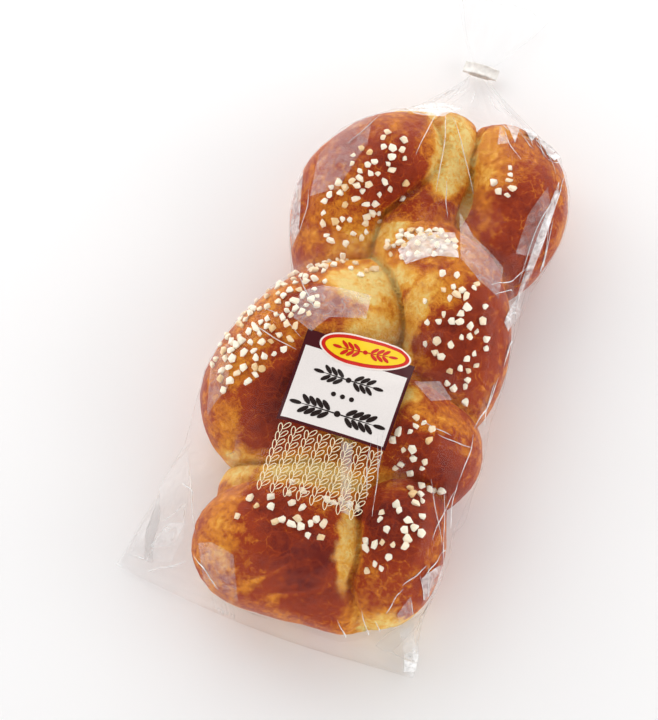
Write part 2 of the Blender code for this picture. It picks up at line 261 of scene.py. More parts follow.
# How deep the pleats are, as a share of the ring's size: in the cone, the neck and the tail.
CONE_PLEAT, NECK_PLEAT, TAIL_PLEAT = 0.42, 0.2, 0.5
SPINE_Z = 30
SPINE_END_Z = 20
RAY_REACH = 130
RAY_STEPS = 66
FILM_FLOOR = 0.3
# The film lies taut in patches about this large, and slack between them.
TAUT_PATCH = 45
# The film is moved clear of the crust once for each of these, and then relaxed by that share.
RELAX_SHARES = (0.8, 0)
# Over how many steps of the grid such a move spreads.
SPREAD_STEPS = 4
# How deep in the crust, or how far off it, the film still feels it.
CRUST_SEARCH = 6
# Flat facets of taut film: how many rings and columns of the film's grid one spans, and its lift.
FACET_RINGS = 13
FACET_COLUMNS = 15
FACET_LIFT = 1.0
FACET_SEED = 4
# Sharp creases in the film: ridges this far to each side and this high, with their edges sunk a little.
CREASE_HALF_WIDTH = 0.3
CREASE_HEIGHT = 0.5
CREASE_SINK = 0.15
CREASE_STEP = 1.6
CREASE_SEED = 8
# How far a crease bends, as a share of its length, and how far it wobbles.
CREASE_BEND = 0.06
CREASE_WOBBLE = 0.25
# A crease ends where the film drops this far from one of its points to the next.
CREASE_DROP = 4.5
# Where the film's rim is looked for when a point lies beyond it: from which height, and how far off.
EDGE_SEARCH_Z = 12
EDGE_SEARCH = 22
# Each crease, from x, y to x, y.
CREASES = (
    # Crinkles on the second lobe.
    (30, 178, 35, 171), (36, 180, 42, 174), (40, 181, 49, 161), (47, 181, 49, 170), (47, 179, 60, 166),
    (50, 165, 60, 155), (60, 155, 64, 155), (64, 155, 68, 162), (50, 176, 51, 167), (51, 167, 62, 158),
    (35, 173, 41, 167), (41, 167, 48, 165), (41, 167, 50, 158), (25, 174, 32, 168), (32, 168, 39, 163),
    # The right free edge.
    (73, 150, 74, 113), (74, 113, 76, 78), (74, 139, 67, 75), (75, 117, 74, 65), (67, 54, 76, 89),
    (68, 39, 74, 79), (75, 18, 76, 46), (70, -28, 74, 11), (71, -61, 71, -31), (73, 7, 75, -19),
    (68, -101, 71, -67), (75, -86, 71, -61), (53, 57, 69, 86), (57, 53, 73, 80),
    # The bottom right corner.
    (51, -152, 67, -161), (62, -145, 72, -156), (72, -156, 74, -165), (72, -156, 79, -150),
    (67, -135, 80, -153), (68, -122, 80, -140), (70, -115, 78, -139), (63, -144, 75, -153),
    (75, -105, 81, -90), (70, -121, 75, -105), (60, -131, 70, -115), (56, -147, 61, -132),
    (42, -150, 58, -166), (30, -158, 44, -168),
    # The bottom left corner and the left side.
    (-91, -154, -89, -146), (-92, -147, -84, -132), (-89, -130, -77, -118), (-77, -118, -73, -133),
    (-88, -158, -64, -153), (-88, -88, -63, -139), (-96, -53, -84, -96),
    (-100, -150, -72, -146), (-60, -150, -40, -164), (-86, -104, -74, -112),
    # The first lobe's left side, and the label's surroundings.
    (-84, 107, -77, 76), (-83, 96, -78, 78), (-79, 76, -77, 51), (-72, 88, -70, 60),
    (-73, 1, -42, -13), (-74, -11, -42, -21), (-85, 9, -68, 34), (-84, -1, -63, -8),
    (42, -39, 60, -39), (52, -42, 73, -39), (56, -67, 74, -100), (66, -70, 78, -109),
    (19, -53, 32, -102), (22, -51, 27, -74), (17, -59, 26, -94), (-58, 28, -40, 6),
    # Between the first two lobes, and up to the neck.
    (-9, 165, 2, 110), (-4, 163, 24, 118), (-13, 167, -16, 126), (28, 168, 45, 146), (42, 178, 58, 155),
    (50, 170, 68, 147), (-40, 173, -13, 203), (-23, 182, -9, 205), (1, 189, -1, 205), (21, 188, 9, 206),
    (34, 186, 15, 205), (-14, 185, -6, 205), (-50, 160, -30, 186), (6, 120, 14, 96), (-46, 150, -58, 120),
)

# Facets of the film with a painted reflection of the lights: a veil of white laid over it. PANE_FADE: how
# level the film has to be, from where the painted veil starts to where it is full.
PANE_STEPS = 12
PANE_LIFT = 0.18
PANE_FADE = (0.12, 0.4)
# Each facet's corners, and how strong its painted white reflection is.
PAINTED_REFLECTION_PANES = (
    {"share": 0.50, "corners": ((67, 41), (71, 38), (73, 80), (70, 84))},
    {"share": 0.62, "corners": ((71, 143), (74, 131), (74, 105), (72, 77), (72, 42), (67, 44))},
    {"share": 0.26, "corners": ((-52, 15), (-41, 23), (-12, 28), (-10, 13), (-30, 4), (-37, -8), (-50, -3))},
    {"share": 0.24, "corners": ((20, 102), (33, 87), (56, 75), (60, 52), (46, 56), (31, 66))},
    {"share": 0.5, "corners": ((-87, 97), (-81, 103), (-70, 63), (-74, 46), (-79, 47))},
    {"share": 0.75, "corners": ((37, 180), (49, 180), (47, 164))},
    {"share": 0.65, "corners": ((49, 180), (63, 170), (61, 158), (52, 166))},
    {"share": 0.85, "corners": ((58, 159), (67, 166), (64, 157))},
    {"share": 0.55, "corners": ((28, 174), (37, 174), (38, 158))},
    {"share": 0.30, "corners": ((25, 170), (35, 157), (28, 154))},
    {"share": 0.60, "corners": ((71, -155), (79, -149), (80, -162), (74, -165))},
    {"share": 0.50, "corners": ((69, -123), (80, -141), (78, -108))},
    {"share": 0.25, "corners": ((62, -145), (66, -134), (77, -149), (71, -155))},
    {"share": 0.50, "corners": ((-7, 63), (2, 77), (22, 85), (30, 66), (14, 62), (1, 54))},
    {"share": 0.45, "corners": ((-39, 164), (-16, 176), (-1, 175), (-9, 161), (-27, 156))},
    {"share": 0.32, "corners": ((1, -66), (8, -66), (20, -106), (14, -106))},
    {"share": 0.18,
     "corners": ((-59, -144), (-51, -143), (-36, -147), (-26, -169), (-33, -175), (-49, -164))},
    {"share": 0.16, "corners": ((-92, -31), (-82, -23), (-74, -52), (-82, -68))},
    {"share": 0.22, "corners": ((29, -17), (43, -10), (53, -18), (42, -25))},
    {"share": 0.25, "corners": ((-92, -146), (-84, -131), (-72, -132), (-75, -144))},
    {"share": 0.15, "corners": ((-74, 112), (-64, 136), (-50, 146), (-46, 122), (-54, 90), (-70, 84))},
    {"share": 0.18, "corners": ((60, 112), (66, 134), (74, 118), (74, 94), (60, 88))},
    {"share": 0.10,
     "corners": ((-104, -150), (-101, -112), (-97, -72), (-80, -104), (-70, -140), (-74, -154))},
)

# The print, in the film's own plane: left, right, bottom and top of the label field.
LABEL = (-39.5, 26.7, -63.5, -7)
LABEL_BORDER = 1.9
LABEL_BAND = 9.5
BADGE_CENTRE = (-3.5, -8.5)
BADGE_HALF = (25, 8.6)
BADGE_TURN = 8
BADGE_SPRIG = {"reach": 14, "leaf": 4.8, "pairs": 3}
# How far the badge's white rim and red edge reach past its oval, and how far its yellow field stays in.
BADGE_STEPS = (2.2, 1.1, -1.2)
# Printed patches are divided into steps of this length, so that they follow the film.
FIELD_STEP = 1.1
OVAL_STEP = 1.6
# A sprig's leaves and its end leaves, half long and half wide, and its berry, per leaf size.
SPRIG_LEAF = (0.58, 0.23)
SPRIG_TIP = (0.58, 0.2)
SPRIG_BERRY = 0.3
# How far a sprig's leaves lean off its stem, in degrees, and the stem's half width.
SPRIG_LEAN = 42
SPRIG_STEM = 0.4
# The first coat of ink lies this high on the film, and each further coat this much higher.
FIRST_COAT = 0.15
COAT = 0.12
LABEL_SPRIGS = (
    {"centre": (-7, -29), "reach": 15, "leaf": 5.6, "pairs": 3},
    {"centre": (-6.5, -51), "reach": 22, "leaf": 6.4, "pairs": 4},
)
LABEL_DOTS_X = (-12.5, -7, -1.5)
LABEL_DOTS_Y = -40
LABEL_DOT_HALF = (1.5, 1.5)
LEAF_FIELD = (-37.5, 26, -106, -64.5)
LEAF_COLUMNS = 8
LEAF_ROWS = 8
LEAF_LENGTHS = (6.6, 6.2)
LEAF_LEANS = (12, 40)
LEAF_LIFT = 0.2

# The clip's strip, folded round the neck. Half its outline, from one end to the middle: x, z.
CLIP_OUTER = ((11.5, 0.5), (9.6, 0.62), (8.0, 0.8), (6.8, 1.45), (5.6, 1.95), (3.0, 2.2), (1.0, 2.25))
CLIP_INNER = ((7.3, 0.3), (7.0, 0.6), (6.4, 1.05), (5.7, 1.35), (5.0, 1.5), (2.5, 1.7), (0.8, 1.75))
CLIP_HALF_WIDTH = 4
# Across the strip: place, and how far its two wires lift it.
CLIP_SECTION = ((-4.0, -0.12), (-3.85, 0.1), (-3.5, 0.25), (-3.1, 0.2), (-2.8, 0.0), (0, -0.05),
                (2.8, 0.0), (3.1, 0.2), (3.5, 0.25), (3.85, 0.1), (4.0, -0.12))

# The camera: a point that it looks at, its distance, and half of the picture's height there.
CAMERA_TARGET = (-26.2, -8.0, 45)
CAMERA_AZIMUTH = math.radians(18.9)
CAMERA_ELEVATION = math.radians(68.2)
CAMERA_DISTANCE = 1300
CAMERA_HALF_HEIGHT = 216
CAMERA_SENSOR = 36
CAMERA_REACH = 20

# The soft lights, in metres: the way to each from the loaf, its distance, and its width and height.
SOFTBOXES = {
    "key": {"way": (-0.5, 0.48, 0.72), "distance": 1.6, "size": (1.3, 1.1)},
    "window": {"way": (-0.92, 0.3, 0.25), "distance": 1.3, "size": (0.5, 0.9)},
    "right": {"way": (0.9, 0.1, 0.42), "distance": 1.6, "size": (0.9, 0.8)},
    "back": {"way": (-0.1, 0.88, 0.46), "distance": 1.6, "size": (1.2, 0.6)},
}
FLOOR_HALF = 3.0
# The sky's light fades from its fill to its overhead strength between these heights.
SKY_FADE = (0.45, 0.9)

_clip_low, _clip_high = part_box("clip")
LOAF_ORIGIN = ((_clip_low + _clip_high) / 2 - Vector((NECK_X, NECK_Y, NECK_Z)) * MM) * Vector((1, 1, 0))


def srgb(hex_colour):
    """A linear RGBA colour from an sRGB hex value."""
    channels = [int(hex_colour[i:i + 2], 16) / 255 for i in (1, 3, 5)]
    return (*(c / 12.92 if c <= 0.04045 else ((c + 0.055) / 1.055)**2.4 for c in channels), 1.0)


def per_metre(size_mm):
    """The noise scale whose features are about this many millimetres across."""
    return 1000 / size_mm


def colour(name, description, hex_colour):
    return FloatVectorProperty(name=name, description=description, subtype="COLOR", size=4,
                               min=0, max=1, default=srgb(hex_colour))


def length(name, description, size_mm):
    return FloatProperty(name=name, description=description, default=size_mm * MM, min=0, unit="LENGTH")


def factor(name, description, share):
    return FloatProperty(name=name, description=description, default=share, min=0, max=1,
                         subtype="FACTOR")


def strength(name, description, value, **unit):
    return FloatProperty(name=name, description=description, default=value, min=0, **unit)


class LoafSettings(PropertyGroup):
    voxel: length("Voxel", "Cell size of the dough's remesh", 1.48)
    lumps: length("Lumps", "Height of the crust's soft lumps", 1.1)
    crumb: length("Crumb", "Height of the torn dough's relief", 1.3)
    crease: length("Crease", "Depth of the creases between two strands", 4.0)
    wrinkle: length("Wrinkle", "Height of the baked crust's wrinkles", 0.4)
    dark: colour("Dark crust", "The most baked crust, on the crests", "#721402")
    brown: colour("Brown crust", "Egg-washed crust", "#AE3A06")
    orange: colour("Orange crust", "Thinly washed crust", "#E68A1E")
    golden: colour("Golden crust", "Dough that browned a little", "#FBBA46")
    pale: colour("Pale dough", "Dough that was covered as it rose", "#FFDF8C")
    torn: colour("Torn dough", "Open crumb in the tears", "#FFE9A6")


class SugarSettings(PropertyGroup):
    size: length("Nib size", "Typical length of a sugar nib", 6.0)
    gap: length("Nib gap", "Least distance between two nibs", 3.9)
    sink: length("Sunk", "How deep a nib sits in the crust", 0.8)
    seed: IntProperty(name="Seed", description="Seed of the scatter", default=11)
    white: colour("Sugar", "Pearl sugar", "#FBF1DC")
    amber: colour("Baked sugar", "Sugar with melted egg wash on it", "#E9C48C")


class FilmSettings(PropertyGroup):
    clear: length("Clearance", "Least distance of the film from the crust", 0.6)
    bridge: length("Bridging", "How widely the film spans a hollow", 7)
    gloss: factor("Gloss roughness", "Roughness of the film", 0.06)
    haze: factor("Haze", "Share of light that the film scatters", 0.002)
    slant_haze: factor("Haze at a slant", "Further scatter at a glancing angle", 0.17)
    # A crease's whiteness is partly the fold's own scatter and partly a painted highlight.
    crease: factor("Crease whiteness", "Share of light that a sharp crease scatters", 0.65)


class PrintSettings(PropertyGroup):
    maroon: colour("Border ink", "The label's border and band", "#48151A")
    paper: colour("Label field", "The label's pale field", "#E9E2DE")
    red: colour("Badge edge", "The badge's red edge", "#CE2418")
    yellow: colour("Badge", "The badge's field", "#F7CE22")
    white: colour("Badge rim", "The badge's white rim", "#F6E6DC")
    dark: colour("Ornament ink", "The ornament on the pale field", "#251A18")
    cream: colour("Leaf ink", "The line pattern under the label", "#F6E7C4")


class ClipSettings(PropertyGroup):
    strip: colour("Strip", "The clip's plastic strip", "#F0ECE6")
    wire: colour("Wire", "The wires that show through the strip's edges", "#A8A39C")


class StageSettings(PropertyGroup):
    floor: colour("Floor", "The pale floor", "#F8F7F7")
    fill: strength("Fill", "Strength of the light all round", 1.5)
    top: strength("Overhead", "Strength of the light straight above", 0.25)
    key: strength("Key", "Power of the high softbox on the left", 5, unit="POWER")
    window: strength("Window", "Power of the low softbox on the left", 3, unit="POWER")
    back: strength("Back", "Power of the softbox behind", 3, unit="POWER")
    right: strength("Right", "Power of the softbox on the right", 4, unit="POWER")


SETTINGS = {
    "brioche_loaf": LoafSettings,
    "brioche_sugar": SugarSettings,
    "brioche_film": FilmSettings,
    "brioche_print": PrintSettings,
    "brioche_clip": ClipSettings,
    "brioche_stage": StageSettings,
}


def add_node(tree, kind, inputs=(), **settings):
    """Add a node. inputs maps an input's name or number to a value, or to the socket that feeds it."""
    node = tree.nodes.new(kind)
    for key, value in settings.items():
        setattr(node, key, value)
    for key, value in dict(inputs).items():
        if isinstance(value, bpy.types.NodeSocket):
            tree.links.new(value, node.inputs[key])
        else:
            node.inputs[key].default_value = value
    return node


def new_material(name):
    """A material with an empty tree: the material and its tree."""
    made = bpy.data.materials.new(name)
    made.use_nodes = True
    made.node_tree.nodes.clear()
    return made, made.node_tree


def cover(tree, shader):
    """Give the material this shader as its surface."""
    add_node(tree, "ShaderNodeOutputMaterial", {"Surface": shader})


def object_coords(tree):
    return add_node(tree, "ShaderNodeTexCoord").outputs["Object"]


def vertex_layer(tree, name):
    """The socket that reads a vertex attribute of numbers."""
    return add_node(tree, "ShaderNodeAttribute", attribute_name=name).outputs["Fac"]


def noise_pattern(tree, coords, size_mm, detail, roughness=0.5, distortion=0.0, output="Fac"):
    """Noise with features of about this many millimetres."""
    return add_node(tree, "ShaderNodeTexNoise", {
        "Vector": coords, "Scale": per_metre(size_mm), "Detail": detail, "Roughness": roughness,
        "Distortion": distortion}).outputs[output]


def calculate(tree, operation, *values, **settings):
    """One step of arithmetic on numbers and sockets."""
    return add_node(tree, "ShaderNodeMath", dict(enumerate(values)), operation=operation,
                    **settings).outputs[0]


def remap(tree, value, given, wanted):
    """The value, with the given range of it stretched to the wanted range, and clamped there."""
    return add_node(tree, "ShaderNodeMapRange", {
        "Value": value, "From Min": given[0], "From Max": given[1],
        "To Min": wanted[0], "To Max": wanted[1]}).outputs[0]


def bump_normal(tree, height, amount, depth_mm):
    return add_node(tree, "ShaderNodeBump", {
        "Strength": amount, "Distance": depth_mm * MM, "Height": height}).outputs[0]


def white_shader(tree, kind):
    return add_node(tree, kind, {"Color": WHITE}).outputs[0]


def mix_shaders(tree, share, first, second):
    """The second shader's share over the first."""
    return add_node(tree, "ShaderNodeMixShader", {"Fac": share, 1: first, 2: second}).outputs[0]


def darker(base, share):
    return (*(share * channel for channel in base[:3]), 1)


def colour_ramp(tree, value, stops):
    """A ramp from (place, colour) stops."""
    ramp = add_node(tree, "ShaderNodeValToRGB", {"Fac": value})
    elements = ramp.color_ramp.elements
    while len(elements) < len(stops):
        elements.new(0.5)
    for element, (place, shade) in zip(elements, stops):
        element.position = place
        element.color = shade
    return ramp.outputs["Color"]


def egg_washed_crust(settings):
    """Brioche crust, egg-washed and baked: satin brown crests, golden flanks, matt torn dough."""
    made, tree = new_material("egg_washed_brioche_crust")
    coords = object_coords(tree)
    bake, torn = vertex_layer(tree, "bake"), vertex_layer(tree, "torn")
    # Where the wash ran and took colour: blotches 13 mm across, mottles of 4 mm, and dark specks.
    blotch = noise_pattern(tree, coords, 13, 8, 0.68, 0.3)
    mottle = noise_pattern(tree, coords, 4, 8, 0.78, 0.5)
    pores = noise_pattern(tree, coords, 1.2, 3, 0.6)
    baked = bake
    for pattern, given, reach in ((blotch, (0.36, 0.64), 0.09), (mottle, (0.38, 0.62), 0.12)):
        baked = calculate(tree, "ADD", baked, remap(tree, pattern, given, (-reach, reach)))
    baked = calculate(tree, "ADD", baked, remap(tree, pores, (0.60, 0.72), (0.0, 0.18)))
    # The wash crazed as the crumb swelled: fine light cracks round islands 9 mm across.
    drift = add_node(tree, "ShaderNodeVectorMath", {
        0: noise_pattern(tree, coords, 7, 3, output="Color"), 1: (6 * MM,) * 3}, operation="MULTIPLY")
    bent = add_node(tree, "ShaderNodeVectorMath", {0: coords, 1: drift.outputs[0]})
    rim = add_node(tree, "ShaderNodeTexVoronoi", {"Vector": bent.outputs[0], "Scale": per_metre(9)},
                   feature="DISTANCE_TO_EDGE").outputs["Distance"]
    craze = remap(tree, rim, (0.0, 0.055), (1.0, 0.0))
    baked = calculate(tree, "MULTIPLY_ADD", craze, remap(tree, bake, (0.45, 0.8), (0.0, -0.22)), baked)
    baked = calculate(tree, "MULTIPLY", baked, 0.87)
    crust = colour_ramp(tree, baked, (
        (0.04, settings.pale), (0.17, settings.golden), (0.32, settings.orange),
        (0.52, settings.brown), (0.92, settings.dark)))
    # Open crumb: strands and holes about 3 mm across.
    crumb = noise_pattern(tree, coords, 3.2, 5, 0.68, 0.6)
    open_dough = colour_ramp(tree, crumb, (
        (0.30, settings.orange), (0.42, settings.golden), (0.56, settings.pale), (0.72, settings.torn)))
    base = add_node(tree, "ShaderNodeMix", {"Factor": torn, 6: crust, 7: open_dough},
                    data_type="RGBA").outputs[2]
    leather = calculate(tree, "MULTIPLY_ADD", mottle, 2.2, pores)
    height = calculate(tree, "MULTIPLY_ADD", calculate(tree, "MULTIPLY", crumb, torn), 2.4, leather)
    shader = add_node(tree, "ShaderNodeBsdfPrincipled", {
        "Base Color": base, "Roughness": remap(tree, baked, (0.1, 0.7), (0.62, 0.34)),
        "Normal": bump_normal(tree, height, 1.0, 0.9), "IOR": 1.45, "Specular IOR Level": 0.22,
        "Subsurface Weight": 0.06, "Subsurface Radius": (0.9, 0.4, 0.12), "Subsurface Scale": 2 * MM})
    cover(tree, shader.outputs[0])
    return made


def pearl_sugar(settings):
    """Pressed sugar nibs: matt white crystals, a few stained amber by the egg wash."""
    made, tree = new_material("pearl_sugar")
    grains = noise_pattern(tree, object_coords(tree), 1.4, 3)
    stain = calculate(tree, "MULTIPLY_ADD", grains, 0.5, vertex_layer(tree, "tint"))
    shader = add_node(tree, "ShaderNodeBsdfPrincipled", {
        "Base Color": colour_ramp(tree, stain, ((0.35, settings.white), (1.0, settings.amber))),
        "Roughness": 0.55, "Normal": bump_normal(tree, grains, 0.5, 0.4),
        "Subsurface Weight": 0.25, "Subsurface Radius": (1.0, 0.9, 0.75), "Subsurface Scale": 2 * MM})
    cover(tree, shader.outputs[0])
    return made


def clear_film(settings):
    """Cast polypropylene film, 30 microns: clear, with a hard gloss on its flat facets and a little haze."""
    made, tree = new_material("clear_polypropylene_film")
    crinkle = noise_pattern(tree, object_coords(tree), 14, 2, distortion=1.2)
    normal = bump_normal(tree, crinkle, 0.35, 1.0)
    # The film mirrors little of the light square on, and two fifths of it at a glancing angle,
    # whichever side it comes from.
    facing = add_node(tree, "ShaderNodeLayerWeight", {"Blend": 0.5, "Normal": normal}).outputs["Facing"]
    mirror = calculate(tree, "MULTIPLY_ADD", calculate(tree, "POWER", facing, 5.0), 0.4, 0.010,
                       use_clamp=True)
    # Seen at a slant the light goes further through it, and more of it is scattered both ways.
    slant = calculate(tree, "POWER", facing, 2.4)
    haze = calculate(tree, "MULTIPLY_ADD", slant, settings.slant_haze, settings.haze, use_clamp=True)
    milk = mix_shaders(tree, 0.5, white_shader(tree, "ShaderNodeBsdfDiffuse"),
                       white_shader(tree, "ShaderNodeBsdfTranslucent"))
    gloss = add_node(tree, "ShaderNodeBsdfGlossy", {"Roughness": settings.gloss, "Normal": normal})
    body = mix_shaders(tree, haze, white_shader(tree, "ShaderNodeBsdfTransparent"), milk)
    cover(tree, mix_shaders(tree, mirror, body, gloss.outputs[0]))
    return made


def white_veil(tree, share, gloss_share, roughness):
    """Clear film of which a share is painted white, itself matt with a share of gloss: painted light on the
    film.
    """
    gloss = add_node(tree, "ShaderNodeBsdfGlossy", {"Roughness": roughness})
    veil = mix_shaders(tree, gloss_share, white_shader(tree, "ShaderNodeBsdfDiffuse"), gloss.outputs[0])
    cover(tree, mix_shaders(tree, share, white_shader(tree, "ShaderNodeBsdfTransparent"), veil))


def creased_film(settings):
    """The same film where it is folded sharply, as a white line: partly the crease's own scatter, partly a
    painted highlight.
    """
    made, tree = new_material("creased_film_edge")
    broken = noise_pattern(tree, object_coords(tree), 5, 2)
    share = calculate(tree, "MULTIPLY_ADD", broken, 2.0, settings.crease - 1.0, use_clamp=True)
    # The white share stands partly for a painted highlight along the fold.
    white_veil(tree, share, 0.4, 0.25)
    return made


def painted_reflection_film():
    """Film where it mirrors a light, as a painted reflection: a veil of white over what is under it."""
    made, tree = new_material("glinting_film_facet")
    streaks = noise_pattern(tree, object_coords(tree), 9, 4, distortion=2.0)
    uneven = remap(tree, streaks, (0.3, 0.7), (0.35, 1.25))
    # The veil is a painted reflection, uneven in streaks.
    white_veil(tree, calculate(tree, "MULTIPLY", vertex_layer(tree, "share"), uneven), 0.3, 0.3)
    return made


def printed_ink(name, ink):
    """Flexographic ink behind gloss film: an even coat with a fine screen grain."""
    made, tree = new_material(name)
    # The real screen is 0.15 mm, which is drawn 0.6 mm wide so that it shows.
    grain = noise_pattern(tree, object_coords(tree), 0.6, 1)
    shader = add_node(tree, "ShaderNodeBsdfPrincipled", {
        "Base Color": colour_ramp(tree, grain, ((0.3, darker(ink, 0.94)), (0.7, ink))),
        "Roughness": 0.28, "Specular IOR Level": 0.2})
    cover(tree, shader.outputs[0])
    return made


def strip_plastic(name, base_colour, roughness):
    """Laminated polyethylene strip, calendered: satin, with faint mottling."""
    made, tree = new_material(name)
    mottle = noise_pattern(tree, object_coords(tree), 3, 3)
    shader = add_node(tree, "ShaderNodeBsdfPrincipled", {
        "Base Color": colour_ramp(tree, mottle, ((0.3, darker(base_colour, 0.8)), (0.65, base_colour))),
        "Roughness": roughness, "Normal": bump_normal(tree, mottle, 0.2, 0.1)})
    cover(tree, shader.outputs[0])
    return made


def floor_card(floor_colour):
    """Matt white card under the object, with the faintest cloudiness."""
    made, tree = new_material("matt_white_card")
    cloud = noise_pattern(tree, object_coords(tree), 400, 2)
    shader = add_node(tree, "ShaderNodeBsdfPrincipled", {
        "Base Color": colour_ramp(tree, cloud, ((0.3, darker(floor_colour, 0.985)), (0.7, floor_colour))),
        "Roughness": 0.55})
    cover(tree, shader.outputs[0])
    return made


def smooth_step(low, high, value):
    t = np.clip((value - low) / (high - low), 0, 1)
    return t * t * (3 - 2 * t)


def smooth_path(knots, samples):
    """Points of a Catmull-Rom curve through the knots."""
    knots = np.array(knots, float)
    ends = np.vstack([2 * knots[0] - knots[1], knots, 2 * knots[-1] - knots[-2]])
    t = np.linspace(0, 1, samples, endpoint=False)[:, None]
    runs = []
    for a, b, c, d in zip(ends, ends[1:], ends[2:], ends[3:]):
        runs.append(0.5 * (2 * b + (c - a) * t + (2 * a - 5 * b + 4 * c - d) * t**2
                           + (3 * b - a - 3 * c + d) * t**3))
    return np.vstack([*runs, knots[-1:]])


def strand_points(first):
    """Samples along one strand: x, y, z, girth, its turn (4 a lobe) and the lobe's paleness."""
    knots = [(*TOP_TUCKS[first], -1, LOBES[first]["pale"])]
    lobes = LOBES[first::STRANDS]
    for number, lobe in enumerate(lobes):
        girth, turn, pale = lobe["girth"], 4 * number, lobe["pale"]
        knots.append((*lobe["rise"], RISE_Z, girth, turn, pale))
        knots.append((*lobe["crest"], girth, turn + 1, pale))
        knots.append((*lobe["outer"], OUTER_Z, girth, turn + 2, pale))
        if number + 1 < len(lobes):
            outer_x, outer_y = lobe["outer"]
            _, next_y = lobes[number + 1]["rise"]
            knots.append((0.45 * outer_x, 0.45 * outer_y + 0.55 * next_y, DIVE_Z, 0.9 * girth,
                          turn + 3, pale))
    knots.append((*BOTTOM_TUCKS[first], knots[-1][4] + 1, knots[-1][5]))
    return smooth_path(knots, STRAND_SAMPLES)


def all_strands():
    return [strand_points(first) for first in range(STRANDS)]


def strand_distances(points, strand):
    """Distance from each point to the dough round each sample of a strand."""
    flat = (points[:, None, :2] - strand[None, :, :2])
    across = (flat**2).sum(2)
    up = (points[:, None, 2] - strand[None, :, 2]) / STRAND_FLAT
    girth = strand[None, :, 3]
    foot_girth = FOOT_GIRTH * girth
    foot_up = (points[:, None, 2] - FOOT_Z) * foot_girth / FOOT_HALF_HEIGHT
    body = np.sqrt(across + up**2) - girth
    return np.minimum(body, np.sqrt(across + foot_up**2) - foot_girth)


def core_distance(points):
    away = points.copy()
    away[:, 1] -= np.clip(points[:, 1], -CORE_HALF_LENGTH, CORE_HALF_LENGTH)
    away[:, 2] = CORE_FLAT * (points[:, 2] - CORE_Z)
    return np.sqrt((away**2).sum(1)) - CORE_GIRTH


def bridge_distance(points):
    away = points - np.array(BRIDGE_CENTRE, float)
    across = (away[:, 0] / BRIDGE_HALF[0])**2 + (away[:, 1] / BRIDGE_HALF[1])**2
    away[:, 2] += BRIDGE_CROWN * across
    past = np.abs(away) - (np.array(BRIDGE_HALF, float) - BRIDGE_ROUND)
    return np.sqrt((np.maximum(past, 0)**2).sum(1)) + np.minimum(past.max(1), 0) - BRIDGE_ROUND


def film_field(points, strands, join):
    """Below zero inside the film, which spans hollows narrower than a few times join."""
    distances = [strand_distances(points, strand).min(1) for strand in strands if len(strand)]
    distances += [core_distance(points), bridge_distance(points)]
    total = sum(np.exp(-np.clip(distance, -90, 160) / join) for distance in distances)
    return -join * np.log(total)


def to_scene(points):
    """Loaf millimetres to scene metres."""
    return np.asarray(points, float) * MM + np.array(LOAF_ORIGIN)


def to_loaf(points):
    """Scene metres to loaf millimetres."""
    return (np.asarray(points, float) - np.array(LOAF_ORIGIN)) / MM


def mesh_points(mesh, what="vertices", key="co"):
    values = np.zeros(len(getattr(mesh, what)) * 3, np.float32)
    getattr(mesh, what).foreach_get(key, values)
    return values.reshape(-1, 3).astype(float)


def noise_at(points, size_mm, seed):
    """Smooth noise, -1 to 1, with features of about this size."""
    shift = Vector((seed * 17.3, seed * 5.1, seed * 9.7))
    return np.array([noise.noise(Vector(point) / size_mm + shift) for point in points])


def segment_distance(flat, start, end):
    """Distance of flat points to a segment."""
    start, end = np.array(start, float), np.array(end, float)
    along = end - start
    t = np.clip(((flat - start) @ along) / (along @ along), 0, 1)
    return np.sqrt(((flat - start - t[:, None] * along)**2).sum(1))


def finish_piece(piece):
    """Every piece rides on the one body."""
    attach(piece, "root")
    return piece


def surface_of(piece):
    """The piece's surface, to cast rays at."""
    return BVHTree.FromObject(piece, bpy.context.evaluated_depsgraph_get())


def new_mesh(name, points, faces):
    mesh = bpy.data.meshes.new(name)
    mesh.from_pydata([tuple(point) for point in points], [], faces)
    return mesh


def joined(patches):
    """Several patches of points and faces as one."""
    points, faces = [], []
    for more_points, more_faces in patches:
        faces += [tuple(len(points) + corner for corner in face) for face in more_faces]
        points += more_points
    return points, faces


def set_layer(mesh, key, values):
    """Write numbers as a vertex attribute."""
    layer = mesh.attributes.new(key, "FLOAT", "POINT")
    layer.data.foreach_set("value", np.asarray(values, np.float32))


def add_object(name, mesh, *finishes):
    mesh.materials.clear()
    for finish in finishes:
        mesh.materials.append(finish)
    made = bpy.data.objects.new(name, mesh)
    bpy.context.scene.collection.objects.link(made)
    return made


def flatten_to_mesh(piece, name):
    """The piece's evaluated shape as a plain mesh, with its modifiers removed."""
    bpy.context.view_layer.update()
    evaluated = piece.evaluated_get(bpy.context.evaluated_depsgraph_get())
    mesh = bpy.data.meshes.new_from_object(evaluated)
    mesh.name = name
    piece.modifiers.clear()
    piece.data = mesh
    return mesh


def node_group(name, inputs):
    """A geometry tree with named inputs besides its geometry: the tree and its input node."""
    tree = bpy.data.node_groups.new(name, "GeometryNodeTree")
    tree.interface.new_socket("Geometry", in_out="INPUT", socket_type="NodeSocketGeometry")
    for label, kind, value in inputs:
        socket = tree.interface.new_socket(label, in_out="INPUT", socket_type=kind)
        if value is not None:
            socket.default_value = value
    tree.interface.new_socket("Geometry", in_out="OUTPUT", socket_type="NodeSocketGeometry")
    return tree, tree.nodes.new("NodeGroupInput")


def end_tree(tree, geometry, finish):
    """The tree's last nodes: real geometry with its material."""
    real = add_node(tree, "GeometryNodeRealizeInstances", {"Geometry": geometry})
    dressed = add_node(tree, "GeometryNodeSetMaterial", {"Geometry": real.outputs[0], "Material": finish})
    add_node(tree, "NodeGroupOutput", {"Geometry": dressed.outputs[0]})


